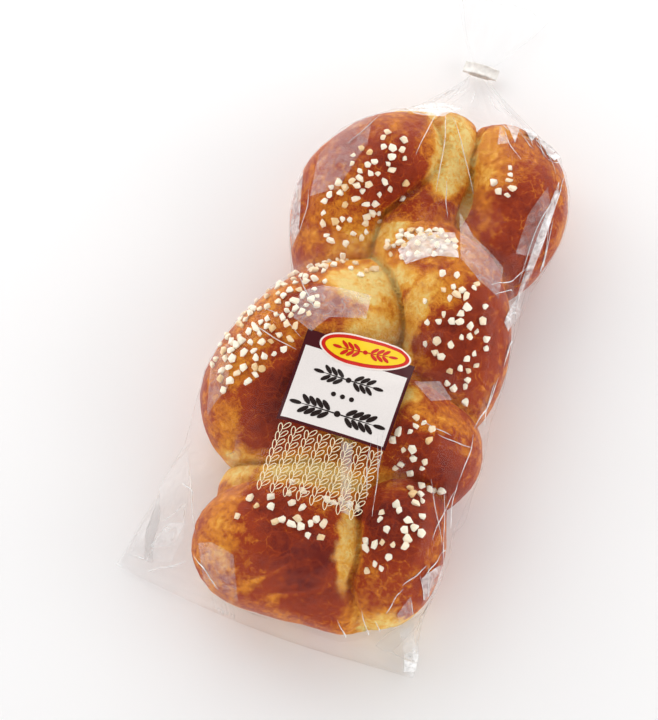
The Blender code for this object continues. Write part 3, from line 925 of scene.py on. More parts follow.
def set_inputs(modifier, **values):
    """Set a modifier's inputs by their names, with spaces for underscores."""
    for item in modifier.node_group.interface.items_tree:
        key = item.name.lower().replace(" ", "_")
        if item.in_out == "INPUT" and key in values:
            modifier[item.identifier] = values[key]


def point_cloud(name, points, **attributes):
    """A mesh of loose points with vector, number or whole-number attributes."""
    mesh = new_mesh(name, points, [])
    for key, values in attributes.items():
        values = np.asarray(values)
        if values.ndim == 2:
            layer = mesh.attributes.new(key, "FLOAT_VECTOR", "POINT")
            layer.data.foreach_set("vector", values.astype(np.float32).ravel())
        else:
            kind = "INT" if values.dtype.kind == "i" else "FLOAT"
            layer = mesh.attributes.new(key, kind, "POINT")
            layer.data.foreach_set("value", values)
    return mesh


def named(tree, name, kind):
    """The socket that reads a named attribute."""
    return add_node(tree, "GeometryNodeInputNamedAttribute", {"Name": name}, data_type=kind).outputs[0]


def dough_tree(finish):
    """Balls of dough that follow the strands, each with its own three radii."""
    tree, given = node_group("dough_along_strands", (
        ("Segments", "NodeSocketInt", BALL_SEGMENTS), ("Rings", "NodeSocketInt", BALL_RINGS)))
    ball = add_node(tree, "GeometryNodeMeshUVSphere", {"Segments": given.outputs["Segments"],
                                                       "Rings": given.outputs["Rings"], "Radius": 1.0})
    placed = add_node(tree, "GeometryNodeInstanceOnPoints", {
        "Points": given.outputs["Geometry"], "Instance": ball.outputs["Mesh"],
        "Scale": named(tree, "radii", "FLOAT_VECTOR")})
    end_tree(tree, placed.outputs[0], finish)
    return tree


def dough_balls(strands):
    """Places and radii of the dough's balls, in loaf millimetres."""
    places, radii = [], []
    for strand in strands:
        for x, y, z, girth, _, _ in strand:
            places.append((x, y, z))
            radii.append((girth, girth, STRAND_FLAT * girth))
            places.append((x, y, FOOT_Z))
            radii.append((FOOT_GIRTH * girth, FOOT_GIRTH * girth, FOOT_HALF_HEIGHT))
    for y in np.arange(-CORE_HALF_LENGTH, CORE_HALF_LENGTH + 1, 4):
        places.append((0, y, CORE_Z))
        radii.append((CORE_GIRTH, CORE_GIRTH, CORE_GIRTH / CORE_FLAT))
    return np.array(places, float), np.array(radii, float)


def patch_spread(points, patch, depth=None):
    """How far points are from a patch's middle: 1 on its rim. depth: its half height, where it has one."""
    turn = math.radians(patch["turn"])
    flat = points[:, :2] - np.array(patch["centre"], float)
    u = flat[:, 0] * math.cos(turn) + flat[:, 1] * math.sin(turn)
    v = flat[:, 1] * math.cos(turn) - flat[:, 0] * math.sin(turn)
    square = (u / patch["half"][0])**2 + (v / patch["half"][1])**2
    if depth:
        square = square + ((points[:, 2] - patch["z"]) / depth)**2
    return np.sqrt(square)


def crust_layers(points, normals, strands):
    """How baked and how torn the dough is at each point, each 0 to 1; the bake also carries painted shade
    and haze.
    """
    nearest, turns, pales = [], [], []
    for strand in strands:
        distances = strand_distances(points, strand)
        place = distances.argmin(1)
        nearest.append(distances[np.arange(len(points)), place])
        turns.append(strand[place, 4])
        pales.append(strand[place, 5])
    nearest.append(core_distance(points))
    turns.append(np.full(len(points), 3.0))
    pales.append(np.ones(len(points)))
    nearest = np.array(nearest)
    order = nearest.argsort(0)
    columns = np.arange(len(points))
    owner = order[0]
    gap = nearest[order[1], columns] - nearest[owner, columns]
    turn = np.array(turns)[owner, columns] % 4
    pale = np.array(pales)[owner, columns]
    broad = noise_at(points, BROAD_TONE, 1)
    blotch = noise_at(points, BLOTCH, 2)
    fine = noise_at(points, FINE_TONE, 7)
    warped = points + (5 * broad + 4 * blotch + 3.5 * fine)[:, None] * np.array([1, -0.8, 0])
    seam = 1 - smooth_step(0.1, 1.0, gap / np.maximum(6 + 4 * broad + 2 * blotch, 2))
    rising = pale * (1 - smooth_step(0.05, 0.7, turn + 0.15 * blotch))
    low = 1 - smooth_step(6, 34, points[:, 2] + 5 * blotch)
    core = (owner == len(strands)) * smooth_step(4, 12, points[:, 2])
    bake = BAKE_EVEN + BAKE_TONES[0] * broad + BAKE_TONES[1] * blotch + BAKE_TONES[2] * fine
    # Patches that darken or lighten the crust: partly browning, partly painted shade on the lobes' right
    # sides and painted haze on their left flanks.
    for patch in BAKE_AND_PAINTED_LIGHT_PATCHES:
        bake += patch["more"] * (1 - smooth_step(0.35, 1.35, patch_spread(warped, patch)))
    bake -= SEAM_PALING * seam + RISING_PALING * rising + LOW_PALING * low + CORE_PALING * core
    torn = 0.8 * core * (normals[:, 2] > 0.1)
    for patch in PALE_PATCHES:
        inside = 1 - smooth_step(0.62, 1.12, patch_spread(warped, patch, PALE_DEPTH))
        bake = bake * (1 - inside) + inside * (patch["bake"] + 0.06 * blotch + 0.04 * fine)
        torn = np.maximum(torn, patch["torn"] * inside * smooth_step(-0.35, 0.25, blotch + 0.5 * fine))
    return np.clip(bake, 0, 1), np.clip(torn, 0, 1), gap


def crust_relief(settings, points, normals, bake, torn, gap):
    """How far the crust stands out at each point, in millimetres: lumps, creases, wrinkles, crumb."""
    lumps = settings.lumps / MM * (0.7 * noise_at(points, 24, 3) + 0.3 * noise_at(points, 8, 4))
    creases = settings.crease / MM * np.exp(-(gap / GAP_REACH)**2) * (normals[:, 2] > -0.3)
    ridges = 0.7 * np.abs(noise_at(points, 8, 9)) + 0.3 * np.abs(noise_at(points, 3.6, 10))
    wrinkles = settings.wrinkle / MM * 2.5 * ridges * bake
    crumb = settings.crumb / MM * torn * (noise_at(points, 4.2, 5) + 0.5 * noise_at(points, 9, 6) - 0.2)
    return lumps - creases - wrinkles + crumb


def crack_depth(points, normals):
    """How deep the long cracks cut into the crust at each point, in millimetres."""
    depth = np.zeros(len(points))
    for crack in CRACKS:
        for start, end in zip(crack["points"], crack["points"][1:]):
            away = segment_distance(points[:, :2], start, end)
            depth += crack["depth"] * np.exp(-(away / CRACK_REACH)**2) * (normals[:, 2] > -0.2)
    return depth


class BRIOCHE_OT_loaf(Operator):
    """Plait the loaf: dough along three strands, remeshed, with the bake (with some painted light) and torn
    dough as vertex layers
    """

    bl_idname = "brioche.loaf"
    bl_label = "Plaited loaf"

    def execute(self, context):
        settings = context.scene.brioche_loaf
        strands = all_strands()
        places, radii = dough_balls(strands)
        finish = egg_washed_crust(settings)
        loaf = add_object("plaited_loaf", point_cloud("dough", to_scene(places), radii=radii * MM), finish)
        balls = loaf.modifiers.new("dough", "NODES")
        balls.node_group = dough_tree(finish)
        set_inputs(balls, segments=BALL_SEGMENTS, rings=BALL_RINGS)
        remesh = loaf.modifiers.new("one_skin", "REMESH")
        remesh.mode = "VOXEL"
        remesh.voxel_size = settings.voxel
        soften = loaf.modifiers.new("soften", "SMOOTH")
        soften.factor = 0.5
        soften.iterations = 4
        mesh = flatten_to_mesh(loaf, "plaited_loaf")
        points = to_loaf(mesh_points(mesh))
        normals = mesh_points(mesh, "vertex_normals", "vector")
        bake, torn, gap = crust_layers(points, normals, strands)
        cracks = crack_depth(points, normals)
        relief = crust_relief(settings, points, normals, bake, torn, gap) - cracks
        bake -= CRACK_PALING * cracks
        moved = points + normals * relief[:, None]
        moved[:, 2] = np.maximum(moved[:, 2], LOAF_FLOOR)
        mesh.vertices.foreach_set("co", to_scene(moved).astype(np.float32).ravel())
        set_layer(mesh, "bake", np.clip(bake, 0, 1))
        set_layer(mesh, "torn", torn)
        mesh.shade_smooth()
        mesh.update()
        mesh.materials.clear()
        mesh.materials.append(finish)
        finish_piece(loaf)
        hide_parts("bagged_brioche")
        return {"FINISHED"}


def nib_shapes(rng, count):
    """A few different lumps of sugar, each angular, as it broke."""
    shapes = bpy.data.collections.new("nib_shapes")
    for number in range(count):
        lump = bmesh.new()
        width, height = rng.uniform(*NIB_WIDTHS), rng.uniform(*NIB_HEIGHTS)
        for _ in range(NIB_CORNERS):
            way = Vector((rng.gauss(0, 1), rng.gauss(0, 1), rng.gauss(0, 1))).normalized()
            lump.verts.new(way * rng.uniform(*NIB_REACH) * Vector((1, width, height)))
        bmesh.ops.convex_hull(lump, input=lump.verts[:])
        loose = [vertex for vertex in lump.verts if not vertex.link_faces]
        bmesh.ops.delete(lump, geom=loose, context="VERTS")
        bmesh.ops.recalc_face_normals(lump, faces=lump.faces[:])
        mesh = bpy.data.meshes.new(f"nib_shape_{number}")
        lump.to_mesh(mesh)
        lump.free()
        shapes.objects.link(bpy.data.objects.new(mesh.name, mesh))
    return shapes


def nib_tree(finish):
    """Sugar nibs on points: one of the lumps at each, with its own turn and size."""
    tree, given = node_group("scattered_nibs", (("Lumps", "NodeSocketCollection", None),
                                                ("Nib size", "NodeSocketFloat", 0.005)))
    lumps = add_node(tree, "GeometryNodeCollectionInfo", {
        "Collection": given.outputs["Lumps"], "Separate Children": True, "Reset Children": True})
    size = add_node(tree, "ShaderNodeMath", {0: named(tree, "size", "FLOAT"), 1: given.outputs["Nib size"]},
                    operation="MULTIPLY")
    turn = add_node(tree, "FunctionNodeEulerToRotation", {0: named(tree, "turn", "FLOAT_VECTOR")})
    placed = add_node(tree, "GeometryNodeInstanceOnPoints", {
        "Points": given.outputs["Geometry"], "Instance": lumps.outputs[0], "Pick Instance": True,
        "Instance Index": named(tree, "lump", "INT"), "Rotation": turn.outputs[0],
        "Scale": size.outputs[0]})
    end_tree(tree, placed.outputs[0], finish)
    return tree


def nib_spots(rng, crust, gap):
    """Scattered places of the nibs on the crust, with its normals, in scene metres."""
    spots = []
    for cluster in NIB_CLUSTERS:
        turn = Matrix.Rotation(math.radians(cluster["turn"]), 2)
        for _ in range(cluster["nibs"]):
            for _ in range(NIB_TRIES):
                radius, angle = math.sqrt(rng.random()), rng.uniform(0, 2 * math.pi)
                x, y = Vector(cluster["centre"]) + turn @ Vector((
                    cluster["half"][0] * radius * math.cos(angle),
                    cluster["half"][1] * radius * math.sin(angle)))
                above = Vector(to_scene((x, y, ABOVE_ALL)))
                point, normal, _, _ = crust.ray_cast(above, Vector((0, 0, -1)))
                if point is None or normal.z < NIB_LEAST_UP:
                    continue
                if all((point - other).length > gap for other, _ in spots):
                    spots.append((point, normal))
                    break
    return spots


class BRIOCHE_OT_sugar(Operator):
    """Scatter pearl sugar nibs in clusters over the lobes"""

    bl_idname = "brioche.sugar"
    bl_label = "Pearl sugar"

    def execute(self, context):
        settings = context.scene.brioche_sugar
        crust = surface_of(bpy.data.objects["plaited_loaf"])
        rng = random.Random(settings.seed)
        shapes = nib_shapes(rng, NIB_SHAPES)
        rows = {"turn": [], "size": [], "lump": [], "tint": []}
        places = []
        for point, normal in nib_spots(rng, crust, settings.gap):
            size = rng.uniform(*NIB_SIZES)
            lie = (normal.to_track_quat("Z", "Y").to_matrix() @ Matrix.Rotation(rng.uniform(0, 6.28), 3, "Z")
                   @ Matrix.Rotation(rng.uniform(-0.5, 0.5), 3, "X"))
            places.append(point + normal * (0.29 * size * settings.size - settings.sink))
            rows["turn"].append(tuple(lie.to_euler()))
            rows["size"].append(size)
            rows["lump"].append(rng.randrange(NIB_SHAPES))
            rows["tint"].append(max(0.0, rng.gauss(0.12, 0.3)))
        rows["lump"] = np.array(rows["lump"], np.int32)
        finish = pearl_sugar(settings)
        sugar = add_object("pearl_sugar", point_cloud("nibs", places, **rows), finish)
        scatter = sugar.modifiers.new("nibs", "NODES")
        scatter.node_group = nib_tree(finish)
        set_inputs(scatter, lumps=shapes, nib_size=settings.size)
        mesh = flatten_to_mesh(sugar, "pearl_sugar")
        mesh.shade_flat()
        for shape in list(shapes.objects):
            bpy.data.objects.remove(shape)
        bpy.data.collections.remove(shapes)
        finish_piece(sugar)
        return {"FINISHED"}


def ring_angles(upper_count, lower_count, spread):
    """Angles round a ring from the right, over the top: close together above, far apart below."""
    start = (math.pi - spread) / 2
    upper = np.linspace(start, start + spread, upper_count, endpoint=False)
    lower = np.linspace(start + spread, start + 2 * math.pi, lower_count, endpoint=False)
    return np.concatenate([upper, lower])


def cast(origin, directions, strands, join):
    """Where each ray leaves the film for good, or meets the flat base."""
    near = [strand[np.abs(strand[:, 1] - origin[1]) < strand[:, 3] + 12] for strand in strands]
    reach = np.linspace(0, RAY_REACH, RAY_STEPS)
    rays = origin + directions[:, None, :] * reach[None, :, None]
    values = film_field(rays.reshape(-1, 3), near, join).reshape(len(directions), RAY_STEPS)
    inside = values < 0
    last = RAY_STEPS - 1 - np.argmax(inside[:, ::-1], axis=1)
    last = np.where(inside.any(1), np.minimum(last, RAY_STEPS - 2), 0)
    rows = np.arange(len(directions))
    a, b = values[rows, last], values[rows, last + 1]
    out = reach[last] + (reach[1] - reach[0]) * np.clip(a / (a - b), 0, 1)
    down = np.minimum(directions[:, 2], -1e-6)
    base = np.where(directions[:, 2] < 0, (origin[2] - FILM_FLOOR) / -down, 10 * RAY_REACH)
    return origin + directions * np.minimum(out, base)[:, None]


def edge_at(edge, station):
    """The free edge's point for a ring, or None where the film clings to the loaf."""
    stations = [point["station"] for point in edge]
    if not stations[0] <= station <= stations[-1]:
        return None
    return np.array([np.interp(station, stations, [point["at"][axis] for point in edge])
                     for axis in range(3)])


def draw_taut(ring, tip, order):
    """Film straight from its free edge to where it touches the loaf. order: ring places upwards."""
    above = [i for i in order if ring[i][2] > tip[2] + 1]
    leans = [math.atan2(ring[i][2] - tip[2], abs(tip[0]) - abs(ring[i][0])) for i in above]
    touch = order.index(above[int(np.argmax(leans))])
    target = ring[order[touch]].copy()
    for step in range(touch):
        ring[order[step]] = tip + (target - tip) * step / touch


def body_ring(station, strands, angles, join):
    """One ring of film across the loaf."""
    spine_z = np.interp(station, (BODY_START, BODY_LOW, BODY_HIGH, BODY_END),
                        (SPINE_END_Z, SPINE_Z, SPINE_Z, SPINE_END_Z))
    directions = np.stack([np.cos(angles), np.zeros(len(angles)), np.sin(angles)], 1)
    ring = cast(np.array([0.0, station, spine_z]), directions, strands, join)
    quarter = UPPER_COUNT // 2
    right, left = edge_at(RIGHT_EDGE, station), edge_at(LEFT_EDGE, station)
    if right is not None:
        draw_taut(ring, right, list(range(quarter)))
    if left is not None:
        draw_taut(ring, left, list(range(UPPER_COUNT, quarter, -1)))
    return ring


def seam_ring(count):
    """The bag's closed foot, flat on the floor and a little crumpled."""
    (right_x, right_y), (left_x, left_y) = SEAM_CORNERS
    i = np.arange(count)
    on_top = i <= UPPER_COUNT
    t = np.where(on_top, i / UPPER_COUNT, (count - i) / (count - UPPER_COUNT))
    crumple = SEAM_CRUMPLE * np.maximum(0, np.sin(SEAM_CRUMPLES * t)) * (1 - t)**2
    ripple = SEAM_RIPPLE * (1 + np.sin(SEAM_RIPPLES * t))
    return np.stack([right_x + (left_x - right_x) * t,
                     right_y + (left_y - right_y) * t - SEAM_BOW * np.sin(math.pi * t),
                     np.where(on_top, FILM_FLOOR + SEAM_THICK + crumple + ripple, FILM_FLOOR)], 1)


def pleats(count):
    """0 to 1 round a ring: sharp folds that lie to one side, as gathered film does."""
    phase = (np.arange(count) / PLEAT_EVERY) % 1
    return np.abs(2 * phase - 1)**0.7


def gathered_ring(count, y, half_width, half_thick, z, wave, depth):
    """A flat ring of gathered film, with pleats and a wave across it."""
    turn = 2 * math.pi * np.arange(count) / count
    fold = 1 - depth * pleats(count)
    across = half_width * np.cos(turn) * (1 - 0.15 * depth * pleats(count))
    lift = wave * np.sin(TAIL_LONG_WAVE * across / TAIL_HALF_WIDTH + TAIL_WAVE_START)
    lift = lift + 0.5 * wave * np.sin(TAIL_SHORT_WAVE * across / TAIL_HALF_WIDTH)
    return np.stack([NECK_X + across, np.full(count, y),
                     z + lift + half_thick * np.sin(turn) * fold], 1)


def film_rings(strands, join):
    """Every ring of the bag, from the bottom seam to the end of the tail."""
    angles = ring_angles(UPPER_COUNT, LOWER_COUNT, RING_SPREAD)
    count = len(angles)
    stations = [*np.linspace(BODY_START, BODY_LOW, BODY_RINGS[0], endpoint=False),
                *np.linspace(BODY_LOW, BODY_HIGH, BODY_RINGS[1], endpoint=False),
                *np.linspace(BODY_HIGH, BODY_END, BODY_RINGS[2])]
    body = [body_ring(station, strands, angles, join) for station in stations]
    seam = seam_ring(count)
    rings = [seam]
    for step in range(1, SEAM_RINGS):
        t = step / SEAM_RINGS
        ring = seam + (body[0] - seam) * t
        ring[:, 2] = seam[:, 2] + (body[0][:, 2] - seam[:, 2]) * math.sin(math.pi / 2 * t)
        rings.append(ring)
    rings += body
    neck = gathered_ring(count, NECK_Y - NECK_HALF_LENGTH, NECK_HALF_WIDTH, NECK_HALF_THICK, NECK_Z, 0,
                         NECK_PLEAT)
    for step in range(1, CONE_RINGS):
        t = step / CONE_RINGS
        ring = body[-1] + (neck - body[-1]) * t
        middle = ring.mean(0)
        fold = 1 - CONE_PLEAT * t**0.8 * (1 - t)**0.5 * pleats(count)
        ring[:, 0] = middle[0] + (ring[:, 0] - middle[0]) * fold
        ring[:, 2] = np.maximum(middle[2] + (ring[:, 2] - middle[2]) * fold, FILM_FLOOR)
        rings.append(ring)
    rings.append(neck)
    for step in range(TAIL_RINGS):
        t = step / (TAIL_RINGS - 1)
        y = NECK_Y + NECK_HALF_LENGTH + t * (TAIL_END - NECK_Y - NECK_HALF_LENGTH)
        half_width = NECK_HALF_WIDTH + (TAIL_HALF_WIDTH - NECK_HALF_WIDTH) * t**0.8
        half_thick = NECK_HALF_THICK + (TAIL_HALF_THICK - NECK_HALF_THICK) * t
        rings.append(gathered_ring(count, y, half_width, half_thick,
                                   NECK_Z + (TAIL_Z - NECK_Z) * t, TAIL_WAVE * t, TAIL_PLEAT))
    return np.array(rings), SEAM_RINGS, SEAM_RINGS + len(body)


def facet_nodes(rng, first, last, count):
    """Scattered places on the film's grid of rings and columns, which the taut facets span."""
    nodes = []
    for number, ring in enumerate(range(first, last + 1, FACET_RINGS)):
        for column in range(0, count, FACET_COLUMNS):
            i = ring + rng.randint(-4, 4)
            j = column + (number % 2) * FACET_COLUMNS // 2 + rng.randint(-5, 5)
            nodes += [(i, j - count), (i, j), (i, j + count)]
    return nodes


def flatten_facets(rings, normals, first, last):
    """The film pulled flat between scattered places of its grid."""
    ring_count, count = rings.shape[:2]
    nodes = facet_nodes(random.Random(FACET_SEED), first, last, count)
    spots, _, triangles, _, _, _ = delaunay_2d_cdt([Vector(node) for node in nodes], [], [], 0, 1e-6)
    raised = rings + FACET_LIFT * normals
    flat = rings.copy()
    for triangle in triangles:
        corners = np.array([spots[k] for k in triangle])
        low = np.maximum(np.ceil(corners.min(0)).astype(int), (first, 0))
        high = np.minimum(np.floor(corners.max(0)).astype(int), (last, count - 1))
        if (low > high).any():
            continue
        i, j = np.mgrid[low[0]:high[0] + 1, low[1]:high[1] + 1]
        span = np.array([corners[1] - corners[0], corners[2] - corners[0]]).T
        u, v = np.linalg.solve(span, np.array([i.ravel() - corners[0][0], j.ravel() - corners[0][1]]))
        inside = (u >= -1e-9) & (v >= -1e-9) & (u + v <= 1 + 1e-9)
        shares = np.stack([1 - u - v, u, v], 1)[inside]
        ends = np.array([raised[min(max(round(a), 0), ring_count - 1), round(b) % count]
                         for a, b in corners])
        flat[i.ravel()[inside], j.ravel()[inside]] = shares @ ends
    return flat


def relax(grid):
    """The grid's points, each moved to the middle of its four neighbours."""
    relaxed = grid.copy()
    beside = np.roll(grid, 1, 1) + np.roll(grid, -1, 1)
    relaxed[1:-1] = (beside[1:-1] + grid[:-2] + grid[2:]) / 4
    return relaxed


def pane_patch(corners):
    """A convex outline as small triangles round its middle: flat points and faces."""
    middle = sum((Vector(corner) for corner in corners), Vector((0, 0))) / len(corners)
    flat, faces = [], []
    for start, end in zip(corners, corners[1:] + corners[:1]):
        side_a, side_b = Vector(start) - middle, Vector(end) - middle
        base = len(flat)
        places = {}
        for i in range(PANE_STEPS + 1):
            for j in range(PANE_STEPS + 1 - i):
                places[i, j] = base + len(places)
                flat.append(tuple(middle + side_a * i / PANE_STEPS + side_b * j / PANE_STEPS))
        for i, j in places:
            if i + j < PANE_STEPS:
                faces.append((places[i, j], places[i + 1, j], places[i, j + 1]))
            if i + j < PANE_STEPS - 1:
                faces.append((places[i + 1, j], places[i + 1, j + 1], places[i, j + 1]))
    return flat, faces


def crease_strip(film, start, end, rng):
    """A sharp ridge in the film: its points and its faces."""
    start, end = Vector(start), Vector(end)
    along = end - start
    steps = max(6, round(along.length / CREASE_STEP))
    side = Vector((-along.y, along.x)).normalized()
    bend = rng.uniform(-CREASE_BEND, CREASE_BEND) * along.length
    wobble = rng.uniform(0, math.tau)
    points, faces = [], []
    for step in range(steps + 1):
        t = step / steps
        aside = bend * math.sin(math.pi * t) + CREASE_WOBBLE * math.sin(9 * t + wobble)
        middle = start + along * t + side * aside
        size = 0.15 + 0.85 * math.sin(math.pi * t)**0.6
        row = []
        for offset, lift in ((-CREASE_HALF_WIDTH, -CREASE_SINK), (0, CREASE_HEIGHT),
                             (CREASE_HALF_WIDTH, -CREASE_SINK)):
            row += on_film(film, [middle + side * offset * size], lift * size)
        # The crease ends where the film drops down a wall.
        if points and (row[1] - points[-2]).length > CREASE_DROP * MM:
            break
        points += row
    last = len(points) // 3 - 1
    for step in range(last):
        a, b = 3 * step, 3 * step + 3
        faces += [(a, a + 1, b + 1, b), (a + 1, a + 2, b + 2, b + 1), (a + 2, a, b, b + 2)]
    faces += [(0, 2, 1), (3 * last, 3 * last + 1, 3 * last + 2)]
    return points, faces


def ring_normals(rings):
    """The way out of the film at each point of its rings."""
    around = np.roll(rings, -1, 1) - np.roll(rings, 1, 1)
    normals = np.cross(np.gradient(rings, axis=0), around)
    return normals / np.maximum(np.linalg.norm(normals, axis=2, keepdims=True), 1e-6)


def move_clear(moved, normals, taut, shape, clearance):
    """Move the film out of the crust, spread over its grid, and relax it where it is taut."""
    for share in RELAX_SHARES:
        depth = crust_depth(moved, clearance).reshape(*shape[:2], 1)
        for _ in range(SPREAD_STEPS):
            depth = np.maximum(depth, relax(depth))
        moved += normals * depth.reshape(-1, 1)
        relaxed = relax(moved.reshape(shape)).reshape(-1, 3)
        moved += share * taut[:, None] * (relaxed - moved)
    moved[:, 2] = np.maximum(moved[:, 2], FILM_FLOOR)
    return moved


def wrapped_film(settings):
    """The bag's points, ring after ring, in loaf millimetres, and the size of their grid."""
    rings, first_body, last_body = film_rings(all_strands(), settings.bridge / MM)
    normals = ring_normals(rings)
    flat = flatten_facets(rings, normals, first_body, last_body)
    points, normals = rings.reshape(-1, 3), normals.reshape(-1, 3)
    row = np.repeat(np.arange(rings.shape[0]), rings.shape[1])
    loose = smooth_step(0, 10, row - 1) * (1 - smooth_step(last_body, last_body + 20, row))
    taut = (loose * smooth_step(2, 10, points[:, 2])
            * smooth_step(-0.5, 0.0, noise_at(points, TAUT_PATCH, 8)))
    moved = points + taut[:, None] * (flat.reshape(-1, 3) - points)
    moved += normals * (settings.clear / MM * loose)[:, None]
    return move_clear(moved, normals, taut, rings.shape, settings.clear / MM), rings.shape


def tube_faces(ring_count, count):
    """Quads between the rings, and one face over each end."""
    faces = []
    for i in range(ring_count - 1):
        for j in range(count):
            k = (j + 1) % count
            faces.append((i * count + j, i * count + k, (i + 1) * count + k, (i + 1) * count + j))
    last = (ring_count - 1) * count
    return [*faces, tuple(range(count))[::-1], tuple(range(last, last + count))]


class BRIOCHE_OT_film(Operator):
    """Wrap the loaf in clear film, from its flat seam to its gathered neck and open tail"""

    bl_idname = "brioche.film"
    bl_label = "Clear film bag"

    def execute(self, context):
        settings = context.scene.brioche_film
        points, (ring_count, count, _) = wrapped_film(settings)
        mesh = new_mesh("film_bag", to_scene(points), tube_faces(ring_count, count))
        shell = bmesh.new()
        shell.from_mesh(mesh)
        bmesh.ops.triangulate(shell, faces=[face for face in shell.faces if len(face.verts) > 4])
        bmesh.ops.recalc_face_normals(shell, faces=shell.faces[:])
        shell.to_mesh(mesh)
        shell.free()
        mesh.shade_smooth()
        film = add_object("film_bag", mesh, clear_film(settings))
        finish_piece(film)
        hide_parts("bagged_brioche")
        skin = surface_of(film)
        self.creases(settings, skin)
        self.painted_reflections(skin)
        return {"FINISHED"}

    def creases(self, settings, skin):
        """The film's sharp creases."""
        rng = random.Random(CREASE_SEED)
        strips = [crease_strip(skin, (x0, y0), (x1, y1), rng) for x0, y0, x1, y1 in CREASES]
        mesh = new_mesh("film_creases", *joined(strips))
        finish_piece(add_object("film_creases", mesh, creased_film(settings)))

    def painted_reflections(self, skin):
        """The facets of film with a painted reflection of the lights, as a veil of white."""
        patches = [pane_patch(pane["corners"]) for pane in PAINTED_REFLECTION_PANES]
        flat, faces = joined(patches)
        mesh = new_mesh("film_panes", on_film(skin, flat, PANE_LIFT), faces)
        shares = np.repeat([pane["share"] for pane in PAINTED_REFLECTION_PANES], [len(points) for points, _ in patches])
        # On a steep wall the film turns its edge to the light, and the painted reflection fades.
        level = np.abs(mesh_points(mesh, "vertex_normals", "vector")[:, 2])
        set_layer(mesh, "share", shares * smooth_step(*PANE_FADE, level))
        shell = bmesh.new()
        shell.from_mesh(mesh)
        bmesh.ops.remove_doubles(shell, verts=shell.verts[:], dist=0.01 * MM)
        for face in shell.faces:
            if face.normal.z < 0:
                face.normal_flip()
        shell.to_mesh(mesh)
        shell.free()
        mesh.shade_smooth()
        finish_piece(add_object("film_panes", mesh, painted_reflection_film()))


def crust_depth(points, clearance):
    """How far film points must move out to stay clear of the crust."""
    crust = surface_of(bpy.data.objects["plaited_loaf"])
    depth = np.zeros(len(points))
    for number, point in enumerate(to_scene(points)):
        found, normal, _, _ = crust.find_nearest(Vector(point), CRUST_SEARCH * MM)
        if found is not None:
            outside = (Vector(point) - found).dot(normal) / MM
            depth[number] = max(0.0, clearance - outside)
    return depth


def on_film(film, flat, lift):
    """Put flat points on the film, or on its rim where they lie beyond it. lift: millimetres above."""
    placed = []
    for x, y in flat:
        point, _, _, _ = film.ray_cast(Vector(to_scene((x, y, ABOVE_ALL))), Vector((0, 0, -1)))
        if point is None:
            point, _, _, _ = film.find_nearest(Vector(to_scene((x, y, EDGE_SEARCH_Z))), EDGE_SEARCH * MM)
        if point is None:
            raise RuntimeError(f"no film near {x}, {y}")
        placed.append(point + Vector((0, 0, lift * MM)))
    return placed


def grid_patch(left, right, low, high):
    """A rectangle as points and quads."""
    columns = max(2, round((right - left) / FIELD_STEP) + 1)
    rows = max(2, round((high - low) / FIELD_STEP) + 1)
    flat = [(x, y) for y in np.linspace(low, high, rows) for x in np.linspace(left, right, columns)]
    quads = [(j * columns + i, j * columns + i + 1, (j + 1) * columns + i + 1, (j + 1) * columns + i)
             for j in range(rows - 1) for i in range(columns - 1)]
    return flat, quads


def oval_patch(centre, half, turn):
    """An oval as points and faces, in rings round its middle."""
    rotation = Matrix.Rotation(math.radians(turn), 2)
    rings = max(2, round(max(half) / OVAL_STEP))
    sides = max(16, round(max(half) * 4))
    flat = [tuple(Vector(centre))]
    for ring in range(1, rings + 1):
        for side in range(sides):
            angle = 2 * math.pi * side / sides
            spot = Vector((half[0] * math.cos(angle), half[1] * math.sin(angle))) * ring / rings
            flat.append(tuple(Vector(centre) + rotation @ spot))
    faces = [(0, 1 + side, 1 + (side + 1) % sides) for side in range(sides)]
    for ring in range(rings - 1):
        inner, outer = 1 + ring * sides, 1 + (ring + 1) * sides
        faces += [(inner + side, outer + side, outer + (side + 1) % sides, inner + (side + 1) % sides)
                  for side in range(sides)]
    return flat, faces


def leaf_sprig(centre, reach, leaf, pairs, turn=0):
    """A plain sprig: pairs of oval leaves along a stem, which point away from a berry in its middle."""
    rotation = Matrix.Rotation(math.radians(turn), 2)
    patches = [oval_patch(centre, (leaf * SPRIG_BERRY, leaf * SPRIG_BERRY), 0),
               oval_patch(centre, (reach + 1, SPRIG_STEM), turn)]
    for way in (-1, 1):
        for pair in range(pairs):
            along = way * reach * (0.26 + 0.74 * (pair + 0.5) / pairs)
            for side in (-1, 1):
                spot = Vector(centre) + rotation @ Vector((along, side * 0.5 * leaf))
                patches.append(oval_patch(spot, (leaf * SPRIG_LEAF[0], leaf * SPRIG_LEAF[1]),
                                          turn + way * side * SPRIG_LEAN))
        tip = Vector(centre) + rotation @ Vector((way * (reach + 0.55 * leaf), 0))
        patches.append(oval_patch(tip, (leaf * SPRIG_TIP[0], leaf * SPRIG_TIP[1]), turn))
    return patches


